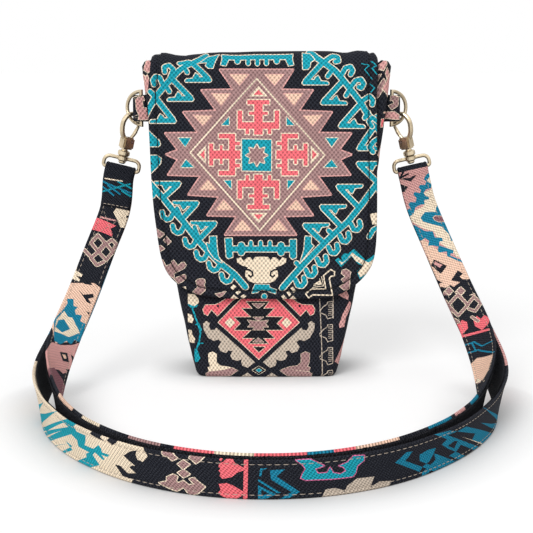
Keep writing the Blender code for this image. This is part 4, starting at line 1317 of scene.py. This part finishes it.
def strap_frames():
    """Middle points of the doubled strap, with its directions along, across and inward, and its spread."""
    def station(side, out, forward, height, lean, spread):
        return Vector((side * out, forward, height, radians(lean) * 100, spread * 100))

    def at_bar(side):
        bar = Vector((side * STRAP_BAR[0], *STRAP_BAR[1:]))
        down = Vector((side * sin(CLASP_TILT), 0, -cos(CLASP_TILT))) * 7
        return [Vector((*bar, CLASP_TILT * 100, 0)), Vector((*(bar + down), CLASP_TILT * 100, 0))]

    stations = at_bar(-1) + [station(-1, *row) for row in HANG_LEFT] + [station(1, *HANG_FRONT)]
    stations += [station(1, *row) for row in HANG_RIGHT[::-1]] + at_bar(1)[::-1]
    path = curve(stations, STRAP_STEPS)
    frames = []
    last = len(path) - 1
    for k, row in enumerate(path):
        before = path[max(k - 1, 0)]
        after = path[min(k + 1, last)]
        along = Vector((after[0] - before[0], after[1] - before[1], after[2] - before[2])).normalized()
        lean = row[3] / 100
        side = 1 if k > last / 2 else -1
        guide = Vector((-side * cos(lean), 0, -sin(lean)))
        width = (guide - along * guide.dot(along)).normalized()
        inner = along.cross(width)
        spread = row[4] / 100
        layers = (STRAP_SEWN + (STRAP_SPREAD - STRAP_SEWN) * spread + STRAP_CLOTH) / 2
        lowest = STRAP_HALF * abs(width.z) + layers * abs(inner.z)
        frames.append((Vector((row[0], row[1], max(row[2], lowest))), along, width, inner, spread))
    return frames


FRAMES = strap_frames()
RUNS = [0.0]
for before, after in zip(FRAMES, FRAMES[1:]):
    RUNS.append(RUNS[-1] + (after[0] - before[0]).length)
LAP = RUNS[-1]
STRAP_FOLD = WIRE + FIT + STRAP_CLOTH / 2
FOLD_RUN = pi * STRAP_FOLD


def strap_frame_at(s):
    s = min(LAP, max(0, s))
    k = min(max(bisect_left(RUNS, s), 1), len(RUNS) - 1)
    share = (s - RUNS[k - 1]) / (RUNS[k] - RUNS[k - 1])
    point, along, width, inner = (a.lerp(b, share) for a, b in zip(FRAMES[k - 1][:4], FRAMES[k][:4]))
    spread = FRAMES[k - 1][4] + (FRAMES[k][4] - FRAMES[k - 1][4]) * share
    from_bar = min((point - FRAMES[0][0]).length, (point - FRAMES[-1][0]).length)
    near = max(0, 1 - from_bar / 6) ** 2
    gap = (STRAP_SEWN + (STRAP_SPREAD - STRAP_SEWN) * spread) / 2
    gap += (STRAP_FOLD - gap) * near * (3 - 2 * near)
    return point, along.normalized(), width.normalized(), inner.normalized(), gap, spread


def strap_place(u, t, lift=STRAP_CLOTH / 2):
    """The closed band's printed face: the inner layer, round the right bar, and back along the outer one."""
    u %= 2 * (LAP + FOLD_RUN)
    if u < LAP:
        point, along, width, inner, gap, _ = strap_frame_at(u)
        return point + inner * (gap + lift) + width * t
    if u < LAP + FOLD_RUN:
        point, along, width, inner, gap, _ = strap_frame_at(LAP)
        turn = (u - LAP) / STRAP_FOLD
        return point + (inner * cos(turn) + along * sin(turn)) * (STRAP_FOLD + lift) + width * t
    if u < 2 * LAP + FOLD_RUN:
        point, along, width, inner, gap, _ = strap_frame_at(2 * LAP + FOLD_RUN - u)
        return point - inner * (gap + lift) + width * t
    point, along, width, inner, gap, _ = strap_frame_at(0)
    turn = (u - 2 * LAP - FOLD_RUN) / STRAP_FOLD
    return point - (inner * cos(turn) + along * sin(turn)) * (STRAP_FOLD + lift) + width * t


def strap_spot(px, py, layer, low, high):
    """The flat place of a photo pixel on the strap's inner (1) or outer (-1) layer, between two runs."""
    def run_to_u(s):
        return s if layer == 1 else 2 * LAP + FOLD_RUN - s

    def miss(s):
        """How far the pixel lies from the line across the strap at s, with s and its share of that line."""
        a = to_photo(strap_place(run_to_u(s), -STRAP_HALF))
        across = to_photo(strap_place(run_to_u(s), STRAP_HALF)) - a
        share = (pixel - a).dot(across) / across.length_squared
        off = abs(across.x * (pixel.y - a.y) - across.y * (pixel.x - a.x)) / across.length
        return off, s, share

    pixel = Vector((px, py))
    steps = 40
    step = (high - low) / steps
    best = min(miss(low + (high - low) * k / steps) for k in range(steps + 1))
    for _ in range(3):
        best = min(best, miss(best[1] - step / 2), miss(best[1] + step / 2))
        step /= 2
    return run_to_u(best[1]), (best[2] * 2 - 1) * STRAP_HALF


def strap_block(layer, low, high):
    """The full-width patch of a layer between two runs."""
    a, b = (low, high) if layer == 1 else (2 * LAP + FOLD_RUN - high, 2 * LAP + FOLD_RUN - low)
    wide = STRAP_HALF + 0.1
    return area((a, -wide), (b, -wide), (b, wide), (a, wide))


# Enlarged parts of the photograph that show the strap
LEFT_HIGH = window(100, 150, 10.46)
LEFT_LOW = window(36, 290, 8.254)
RIGHT_HIGH = window(385, 150, 10.45)
STRIP_LEFT = window(140, 430, 8.71)
STRIP_RIGHT = window(310, 380, 8.04)

# The strap's motifs: layer, run from and to, window, and then colour, rim, and outlines in painter's order
STRAP_MOTIFS = [
    (1, 6, 140, LEFT_HIGH, [
        ("cream", None, [[(75, 480), (320, 560), (350, 640), (320, 720), (290, 820), (215, 810), (140, 650),
                          (175, 600), (120, 600)]]),
        ("navy", None, [[(270, 690), (335, 680), (330, 700), (275, 710)]]),
        ("rose", None, [[(0, 690), (165, 735), (165, 748), (0, 708)]]),
        ("coral", None, [[(-170, 690), (-60, 700), (0, 715), (170, 790), (110, 822), (132, 880), (118, 905),
                          (84, 885), (0, 850), (-120, 820)]]),
        ("cream", None, [[(-330, 1240), (-280, 1160), (-230, 1180), (-250, 1260), (-180, 1300), (-220, 1380),
                          (-330, 1330)]])]),
    (1, 50, 190, LEFT_LOW, [
        ("peach", None, [[(160, -60), (480, -60), (560, 0), (530, 110), (440, 380), (160, 440), (130, 300)]]),
        ("navy", None, [
            [(350, 0), (390, 40), (470, 30), (480, 60), (430, 70), (460, 120), (500, 130), (540, -10),
             (600, -60), (560, 100), (500, 130), (420, 100), (380, 40)],
            [(415, 175), (445, 185), (435, 210)], [(330, -120), (420, -90), (470, -40), (400, -50)]]),
        ("sea", None, [[(255, 70), (310, 75), (310, 130), (345, 140), (320, 170), (330, 200), (380, 210),
                        (365, 260), (410, 280), (400, 320), (445, 340), (430, 400), (370, 440), (320, 410),
                        (290, 450), (250, 420), (200, 450), (150, 420), (150, 240), (235, 150), (260, 110)]]),
        ("cream", None, [[(235, 170), (262, 220), (300, 230), (362, 352), (270, 388), (212, 362), (150, 340),
                          (170, 240)]]),
        ("sea", None, [[(190, 245), (232, 240), (282, 322), (214, 348), (160, 300)]]),
        ("rose", None, [[(130, 430), (200, 455), (300, 452), (430, 410), (380, 570), (330, 640), (200, 700),
                         (110, 620)]]),
        ("navy", None, [
            [(195, 510), (258, 520), (272, 596), (222, 585)],
            [(290, 530), (330, 575), (330, 600), (300, 610)], [(320, 500), (350, 515), (340, 525)],
            [(340, 560), (380, 572), (300, 950), (240, 880), (150, 650), (190, 660), (238, 702), (268, 690),
             (246, 650), (300, 662), (332, 632)]]),
        ("peach", None, [[(215, 527), (245, 535), (250, 568), (232, 566)]]),
        ("plum", None, [
            [(105, 640), (150, 640), (220, 740), (252, 840), (238, 905), (170, 840), (105, 740)],
            [(268, 810), (312, 822), (300, 900), (290, 960), (240, 925)]])]),
    (1, 620, 750, RIGHT_HIGH, [
        ("rose", None, [[(60, 130), (440, 110), (700, 700), (900, 1300), (560, 1400), (360, 1050),
                         (200, 500)]]),
        ("peach", None, [[(300, 880), (400, 930), (560, 1050), (680, 1110), (805, 1165), (900, 1360),
                          (700, 1440), (440, 1420), (380, 1100), (330, 930)]]),
        ("cream", None, [[(490, 235), (570, 440), (650, 640), (730, 880), (840, 1150), (745, 1110),
                          (700, 1060), (560, 960), (510, 850), (400, 820), (240, 720), (300, 640), (400, 590),
                          (430, 480), (400, 450), (490, 400), (440, 320), (470, 260)]]),
        ("sea", None, [
            [(465, 195), (490, 240), (450, 300), (440, 330), (490, 355), (480, 400), (430, 410), (405, 450),
             (420, 480), (465, 495), (455, 520), (410, 520), (415, 565), (370, 575), (320, 600), (300, 660),
             (255, 705), (225, 640), (265, 600), (240, 570), (265, 545), (320, 545), (330, 500), (295, 465),
             (310, 440), (365, 450), (375, 420), (350, 385), (370, 365), (420, 365), (430, 330), (405, 305),
             (430, 260)],
            [(370, 710), (420, 650), (530, 645), (535, 605), (565, 540), (545, 490), (570, 465), (640, 660),
             (680, 780), (740, 930), (690, 950), (670, 880), (590, 800), (480, 775), (400, 750)],
            [(262, 780), (310, 785), (420, 850), (500, 850), (520, 910), (600, 920), (605, 950), (565, 960),
             (570, 1000), (720, 1050), (710, 1085), (690, 1080), (680, 1105), (800, 1150), (815, 1180),
             (740, 1150), (650, 1110), (645, 1060), (560, 1070), (550, 1040), (560, 1010), (500, 1000),
             (450, 1000), (460, 950), (420, 920), (380, 950), (335, 935), (345, 900), (285, 880)]]),
        ("plum", "peach", [[(506, 705), (530, 692), (680, 700), (690, 745), (560, 745), (520, 730)]]),
        ("navy", None, [
            [(150, 262), (172, 210), (340, 150), (318, 210), (270, 328)],
            [(160, 355), (242, 382), (200, 445), (175, 440)],
            [(370, 1130), (420, 1105), (455, 1120), (415, 1175)],
            [(512, 1142), (648, 1212), (585, 1294), (480, 1205)],
            [(455, 1340), (540, 1350), (600, 1385), (550, 1400), (560, 1430), (640, 1440), (680, 1410),
             (720, 1430), (785, 1380), (690, 1360), (760, 1260), (815, 1290), (780, 1320), (810, 1350),
             (900, 1345), (1010, 1580), (480, 1640)]]),
        ("rose", None, [
            [(200, 245), (215, 215), (285, 240), (255, 292)],
            [(520, 1162), (600, 1200), (575, 1230), (512, 1195)]]),
        ("mauve", "cream", [
            disc((640, 1503), 42, 4), disc((780, 1484), 46, 4),
            [(560, 1568), (700, 1540), (740, 1580), (660, 1640)],
            [(850, 1540), (930, 1500), (960, 1560), (880, 1610)]])]),
    (1, 590, 680, window(385, 150, 1), [
        ("navy", None, [[(50, 145), (100, 145), (108, 180), (60, 190)]]),
        ("mauve", "cream", [
            [(60, 141), (64, 137), (68, 141), (64, 145)], [(72, 141), (76, 137), (80, 141), (76, 145)],
            [(54, 151), (58, 147), (62, 151), (58, 155)]]),
        ("coral", None, [
            [(66, 174), (70, 171), (74, 174), (77, 170), (82, 172), (83, 178), (76, 186), (68, 181)],
            [(88, 169), (92, 166), (96, 169), (99, 165), (104, 167), (104, 173), (97, 180), (90, 176)],
            [(62, 188), (104, 178), (105, 180), (63, 190.5)]]),
        ("peach", None, [[(78, 222), (92, 208), (108, 204), (106, 222), (100, 232), (92, 228), (88, 240),
                          (82, 238)]])]),
    (-1, 165, 330, LEFT_LOW, [
        ("teal", None, [
            [(240, 1070), (270, 1060), (330, 1090), (310, 1130), (340, 1170), (410, 1200), (410, 1240),
             (400, 1280), (470, 1310), (515, 1280), (540, 1310), (545, 1340), (605, 1360), (590, 1378),
             (540, 1360), (568, 1398), (550, 1402), (490, 1340), (470, 1360), (525, 1445), (480, 1425),
             (415, 1380), (412, 1350), (440, 1340), (350, 1290), (340, 1240), (290, 1190), (270, 1210),
             (292, 1262), (230, 1210), (212, 1160), (250, 1150), (212, 1100), (230, 1095), (265, 1130)],
            [(100, 920), (130, 960), (170, 1000), (200, 1100), (140, 1040), (60, 930)],
            [(240, 1240), (300, 1290), (380, 1370), (300, 1320)]]),
        ("navy", None, [
            [(448, 1155), (490, 1158), (540, 1172), (530, 1212), (562, 1252), (500, 1222), (452, 1190)],
            [(588, 1242), (610, 1198), (672, 1220), (660, 1262), (628, 1282)],
            [(722, 1365), (780, 1330), (830, 1325), (820, 1362), (836, 1400), (890, 1420), (925, 1380),
             (880, 1300), (910, 1270), (1300, 1330), (1300, 1640), (720, 1540), (652, 1440), (700, 1450),
             (760, 1512), (826, 1512), (770, 1462), (790, 1448), (820, 1452)]])]),
    (-1, 290, 440, STRIP_LEFT, [
        ("navy", None, [[(60, 100), (1560, 190), (1700, 640), (-80, 470), (20, 280), (82, 215), (60, 150)]]),
        ("mauve", "cream", [
            [(175, 160), (232, 165), (330, 245), (280, 266), (240, 232), (200, 215)],
            [(425, 240), (460, 205), (572, 215), (530, 260), (485, 292)],
            [(325, 297), (376, 262), (435, 300), (380, 340)],
            [(325, 372), (380, 343), (432, 385), (378, 414)],
            [(165, 460), (235, 445), (230, 410), (290, 385), (325, 405), (310, 450), (340, 460), (380, 440),
             (430, 480), (470, 470), (430, 425), (470, 415), (500, 440), (565, 495), (510, 550), (440, 570),
             (380, 500), (320, 530), (240, 500)]]),
        ("coral", None, [
            [(690, 240), (720, 245), (715, 272), (690, 265)],
            [(685, 320), (690, 290), (720, 280), (760, 250), (800, 250), (830, 290), (902, 330), (902, 350),
             (850, 370), (790, 412), (720, 425), (690, 400), (704, 380), (685, 350), (700, 340)],
            [(680, 470), (760, 462), (800, 480), (905, 538), (905, 560), (840, 600), (760, 600), (672, 552),
             (702, 520)],
            [(908, 240), (940, 240), (934, 610), (902, 610)]]),
        ("sea", None, [
            [(1128, 350), (1262, 342), (1190, 402), (1392, 540), (1300, 590), (1200, 612), (1322, 540),
             (1140, 432)],
            [(1045, 335), (1110, 332), (1066, 352), (1060, 404), (1042, 400)],
            [(1030, 425), (1228, 545), (1198, 552), (1030, 446)],
            [(1030, 480), (1190, 560), (1080, 606), (1030, 606)]]),
        ("navy", None, [[(1055, 520), (1120, 552), (1060, 575)]])]),
    (-1, 380, 600, STRIP_RIGHT, [
        ("teal", "pink", [[(-107, 646), (0, 640), (50, 660), (110, 690), (40, 715), (70, 752), (132, 745),
                           (160, 702), (190, 745), (240, 756), (292, 730), (270, 697), (230, 690), (300, 660),
                           (350, 612), (440, 606), (430, 645), (375, 690), (370, 745), (350, 775), (200, 793),
                           (40, 800), (-38, 804), (-75, 788), (-65, 753), (-35, 715), (-60, 680)]]),
        ("taupe", None, [[(85, 965), (130, 880), (200, 868), (250, 880), (272, 902), (300, 850), (380, 790),
                          (430, 785), (520, 775), (488, 866), (560, 815), (655, 810), (620, 880),
                          (440, 940)]]),
        ("sea", None, [
            [(685, 665), (780, 580), (830, 573), (765, 650), (850, 690), (880, 650), (885, 600), (950, 560),
             (1010, 545), (990, 600), (960, 650), (905, 700), (880, 740), (820, 750)],
            [(890, 790), (900, 745), (960, 690), (1010, 640), (1000, 590), (1030, 600), (1050, 640),
             (1000, 700), (930, 760)],
            [(1060, 520), (1110, 470), (1180, 450), (1230, 430), (1225, 500), (1180, 570), (1120, 610),
             (1080, 600), (1110, 550)],
            [(1010, 440), (1120, 405), (1300, 300), (1390, 215), (1400, 250), (1310, 340), (1130, 440),
             (1040, 470)],
            [(1150, 640), (1260, 500), (1330, 380), (1345, 400), (1280, 520), (1170, 660)]]),
        ("navy", None, [
            [(1110, 530), (1160, 490), (1190, 490), (1160, 550), (1130, 570)],
            [(1090, 430), (1130, 415), (1150, 425), (1110, 445)],
            [(1230, 350), (1290, 312), (1300, 325), (1240, 370)]]),
        ("cream", None, [[(1180, 450), (1215, 436), (1212, 452)]])])]

# Outlined strokes on the strap: layer, run from and to, colour, rim, width in millimetres, lines in the photo
STRAP_LINES = [
    (1, 20, 140, "mauve", "cream", 1.7, [
        [(91, 243), (98, 235), (105, 243), (98, 251), (91, 243)],
        [(99, 252), (106, 244), (113, 252), (106, 260), (99, 252)],
        [(113, 250), (117, 245), (112, 239.6), (108, 242.6)],
        [(98, 252), (91, 258), (97, 265), (103.6, 262)], [(84, 250), (90, 256)]]),
    (1, 600, 700, "mauve", "cream", 1.6, [
        [(448, 305), (458, 294.5), (468, 305), (458, 315.5), (448, 305)],
        [(468, 304), (474, 297), (481, 303), (475, 311), (469, 309)], [(438, 300), (444, 306), (441, 313)],
        [(452, 318), (458, 322)], [(472, 317), (478, 321)]]),
    (1, 590, 690, "sea", None, 1.1, [
        [(462, 346), (474, 342), (482, 346), (492, 341)], [(464, 354), (478, 350), (494, 352)],
        [(472, 343), (476, 351)]]),
    (1, 700, 757, "navy", None, 1.3, [
        [(396, 170), (404, 168), (400, 178), (408, 174)], [(392, 180), (400, 186)]])]

# Colours along the two layers' long runs: layer, from, to
STRAP_FIELDS = [(1, 715, 757, "rose"), (-1, 150, 330, "cream"), (-1, 600, 640, "rose"), (-1, 60, 120, "sea"),
                (1, 210, 240, "peach"), (1, 255, 275, "cream"), (1, 300, 322, "mauve"),
                (1, 330, 352, "coral"), (1, 352, 372, "cream"), (1, 372, 398, "coral"), (1, 398, 412, "sea"),
                (1, 412, 424, "coral"), (1, 424, 452, "peach"), (1, 476, 500, "sea"), (1, 505, 520, "rose"),
                (1, 530, 545, "sea"), (-1, 655, 672, "mauve"), (-1, 700, 712, "rose"), (-1, 20, 45, "mauve")]


def strap_print():
    layers = []
    for layer, low, high, colour in STRAP_FIELDS:
        paint(layers, [strap_block(layer, low, high)], colour)
    for k, s in enumerate(range(218, 596, 13)):
        u = s if k % 2 else s + 3
        diamond = [(u + 5 * dx, 4.4 * dt + (4 if k % 2 else -4)) for dx, dt in PLAIN_DIAMOND]
        paint(layers, [area(*diamond)], ("navy", "cream", "coral", "teal")[k % 4],
              "mauve" if k % 4 == 1 else "cream", 0.4)
    for layer, low, high, view, motifs in STRAP_MOTIFS:
        for colour, rim, outlines in motifs:
            shapes = [area(*[strap_spot(px, py, layer, low, high) for px, py in view(points)])
                      for points in outlines]
            paint(layers, shapes, colour, rim, 0.45)
    for layer, low, high, colour, rim, width, lines in STRAP_LINES:
        shapes = [line(width, *[strap_spot(px, py, layer, low, high) for px, py in points])
                  for points in lines]
        paint(layers, shapes, colour, rim, 0.4)
    return layers


def strap_run(u):
    """How far along the route a place on the closed band lies."""
    return u if u < LAP + FOLD_RUN else 2 * LAP + FOLD_RUN - u


def strap_fullness(u, t):
    """The band's thickness as a share of its fullest, which it has where the layers part."""
    spread = strap_frame_at(strap_run(u))[5]
    return (STRAP_CLOTH + (STRAP_FULL - STRAP_CLOTH) * spread) / STRAP_FULL


def edge_relief(t):
    return sewn_edge(STRAP_HALF - abs(t), 0.8, 0.9, 1.1, 0.22)


# Lines on the folded end: places along the band and across it
END_LINES = [
    [(9, -9), (15, 9)], [(15, -9), (9, 8)], [(11, -6), (16, 2)], [(8, 0), (12, 9)], [(12, -9), (17, -2)],
    [(14, 3), (17, 9)]]


def build_strap(canvas, painted_shade_canvas, thread):
    total = 2 * (LAP + FOLD_RUN)
    outline = [(0, -STRAP_HALF), (total, -STRAP_HALF), (total, STRAP_HALF), (0, STRAP_HALF)]
    places = [total * k / 420 for k in range(1, 420)]
    for start in (LAP, 2 * LAP + FOLD_RUN):
        places += [start + FOLD_RUN * k / 8 for k in range(9)]
    guides = [[(u, -STRAP_HALF), (u, STRAP_HALF)] for u in places]
    rows = [s * (STRAP_HALF - d) for s in (-1, 1) for d in (0.25, 0.6, 1, 1.6, EDGE_SEAM, 2.8, 4.6, 7)]
    guides += [[(0, t), (total, t)] for t in rows]
    flat, triangles, colours = cut_sheet(outline, strap_print(), guides, "navy")
    band = lay("strap_cloth", flat, triangles, colours, strap_place, lambda u, t: edge_relief(t), STRAP_FULL,
               canvas, strap_fullness)
    # Dark ink canvas on the band's back faces, in the gap between its two layers: painted shade.
    band.data.materials.append(painted_shade_canvas)
    band.modifiers["thickness"].material_offset = 1
    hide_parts("strap")
    runs = ((2, LAP - 2), (LAP + FOLD_RUN + 2, total - FOLD_RUN - 2))
    seams = [[(start + (end - start) * k / 240, t) for k in range(241)]
             for t in (EDGE_SEAM - STRAP_HALF, STRAP_HALF - EDGE_SEAM) for start, end in runs]
    stitches("strap_stitches", seams, strap_place, 2.6, 1.1, 0.17, -0.12, thread)


def build_strap_end(canvas, thread):
    """The folded end of the band near the left clasp, sewn over the inner layer with a crossed box."""
    start = 1.5
    length = 25
    layers = []
    for k, points in enumerate(END_LINES):
        paint(layers, [line(1.1, *points)], "teal" if k % 2 else "sea")
    paint(layers, [line(0.7, (7.2, -8), (7.6, 3))], "cream")
    outline = [(start, -STRAP_HALF), (length, -STRAP_HALF), (length, STRAP_HALF), (start, STRAP_HALF)]

    def place(u, t):
        return strap_place(u, t, STRAP_CLOTH / 2 + 1.05)

    def relief(u, t):
        ledge = 0.45 * max(0, 1 - (length - u) / 0.8) ** 2
        return edge_relief(t) - ledge - 0.8 * max(0, 1 - (u - start) / 6)

    guides = grid(start, length, -STRAP_HALF, STRAP_HALF, 2, 1.6)
    flat, triangles, colours = cut_sheet(outline, layers, guides, "navy")
    flap_end = lay("strap_end", flat, triangles, colours, place, relief, 0.95, canvas)
    low_edge = [[(length - 1.4, -8.4), (length - 1.4, 8.4)]]
    stitches("strap_end_stitches", low_edge, place, 2.2, 0.5, 0.2, 0.05, thread)
    near = length + 3
    far = length + 22
    cross = [[(far, -7.4), (near, 7.4)], [(far, 7.4), (near, -7.4)], [(far, -7.4), (far, 7.4)]]
    stitches("strap_box_stitches", cross, strap_place, 2.2, 0.6, 0.16, 0.05, thread)


# Stage, light and camera


def direct_view(tree):
    """One for rays that see the stage from the camera, in a mirror or through glass, or else nothing."""
    rays = add_node(tree, "ShaderNodeLightPath")
    mirrored = calculate(tree, "MAXIMUM", rays.outputs["Is Glossy Ray"], rays.outputs["Is Transmission Ray"])
    return calculate(tree, "MAXIMUM", rays.outputs["Is Camera Ray"], mirrored)


def build_stage():
    floor_mesh = bpy.data.meshes.new("floor")
    corners = [(FLOOR_REACH * x, FLOOR_REACH * y, 0) for x, y in ((-1, -1), (1, -1), (1, 1), (-1, 1))]
    floor_mesh.from_pydata(corners, [], [(0, 1, 2, 3)])
    floor = bpy.data.objects.new("floor", floor_mesh)
    floor.location.z = -0.05 * MM
    bpy.context.scene.collection.objects.link(floor)
    made, tree, shader = new_material("floor_paper")
    tree.nodes.remove(shader)
    paper = add_node(tree, "ShaderNodeBsdfDiffuse")
    paper.inputs["Color"].default_value = (0.62, 0.62, 0.62, 1)
    glow = add_node(tree, "ShaderNodeEmission")
    seen = direct_view(tree)
    # Ambient occlusion dims the floor's glow near the pouch and strap: a painted contact shadow.
    open_sky = add_node(tree, "ShaderNodeAmbientOcclusion", samples=16)
    open_sky.inputs["Distance"].default_value = CONTACT_REACH * MM
    painted_contact_shade = calculate(tree, "POWER", open_sky.outputs["AO"], CONTACT_POWER)
    lit = calculate(tree, "MULTIPLY", painted_contact_shade, FLOOR_GLOW)
    tree.links.new(calculate(tree, "MULTIPLY", seen, lit), glow.inputs["Strength"])
    both = add_node(tree, "ShaderNodeAddShader")
    tree.links.new(paper.outputs[0], both.inputs[0])
    tree.links.new(glow.outputs[0], both.inputs[1])
    tree.links.new(both.outputs[0], tree.nodes["Material Output"].inputs["Surface"])
    floor_mesh.materials.append(made)


def build_light():
    world = bpy.data.worlds.new("studio")
    world.use_nodes = True
    bpy.context.scene.world = world
    tree = world.node_tree
    backdrop = tree.nodes["Background"]
    backdrop.inputs["Color"].default_value = (1, 1, 1, 1)
    seen = direct_view(tree)
    tree.links.new(ranged(tree, seen, 0, 1, WORLD_LEVEL, 1), backdrop.inputs["Strength"])
    for name, (strength, angle, tilt, turn) in SUNS.items():
        lamp = bpy.data.lights.new(name, "SUN")
        lamp.energy = strength
        lamp.angle = radians(angle)
        holder = bpy.data.objects.new(name, lamp)
        holder.rotation_euler = (radians(tilt), 0, radians(turn))
        bpy.context.scene.collection.objects.link(holder)


def build_camera():
    lens = bpy.data.cameras.new("camera")
    lens.lens = LENS
    lens.sensor_width = SENSOR
    holder = bpy.data.objects.new("camera", lens)
    holder.location = CAMERA_PLACE * MM
    holder.rotation_euler = (pi / 2 - CAMERA_PITCH, 0, 0)
    bpy.context.scene.collection.objects.link(holder)
    bpy.context.scene.camera = holder


def dress_metal():
    brass = metal_material("antique_brass", (0.72, 0.6, 0.42), (0.12, 0.085, 0.045), 0.33)
    steel = metal_material("spring_steel", (0.58, 0.57, 0.55), (0.15, 0.14, 0.13), 0.3)
    finishes = {"d_ring": brass, "swivel_ring": brass, "hook": brass, "gate": brass, "gate_pin": steel,
                "gate_spring": steel}
    for side in ("left", "right"):
        for part, finish in finishes.items():
            node = bpy.data.objects[f"{side}_{part}"]
            node.data.materials.clear()
            node.data.materials.append(finish)
            node.data.shade_smooth()
            node.data.set_sharp_from_angle(angle=SHARP_ANGLE)
    for name in ("snap_stud", "snap_socket"):
        node = bpy.data.objects[name]
        node.data.materials.clear()
        node.data.materials.append(steel)


def main():
    bpy.context.scene.view_settings.view_transform = "Standard"
    build_camera()
    build_light()
    build_stage()
    canvas = canvas_material("printed_canvas", *POUCH_WEAVE)
    strap_canvas = canvas_material("strap_canvas", *STRAP_WEAVE)
    lining_cloth = canvas_material("lining_cloth", *LINING_WEAVE, "ink", 0.05)
    thread = thread_material("sewing_thread", "taupe")
    dark_thread = thread_material("dark_thread", "navy")
    build_pouch(canvas, lining_cloth)
    build_flap(canvas, lining_cloth, dark_thread)
    for side in (-1, 1):
        build_tab(side, canvas, thread)
    # Dark canvas for the strap's back faces: painted shade between the layers.
    strap_back_painted_shade = canvas_material("strap_back_painted_shade", *STRAP_WEAVE, "ink")
    build_strap(strap_canvas, strap_back_painted_shade, thread)
    build_strap_end(strap_canvas, thread)
    dress_metal()


main()
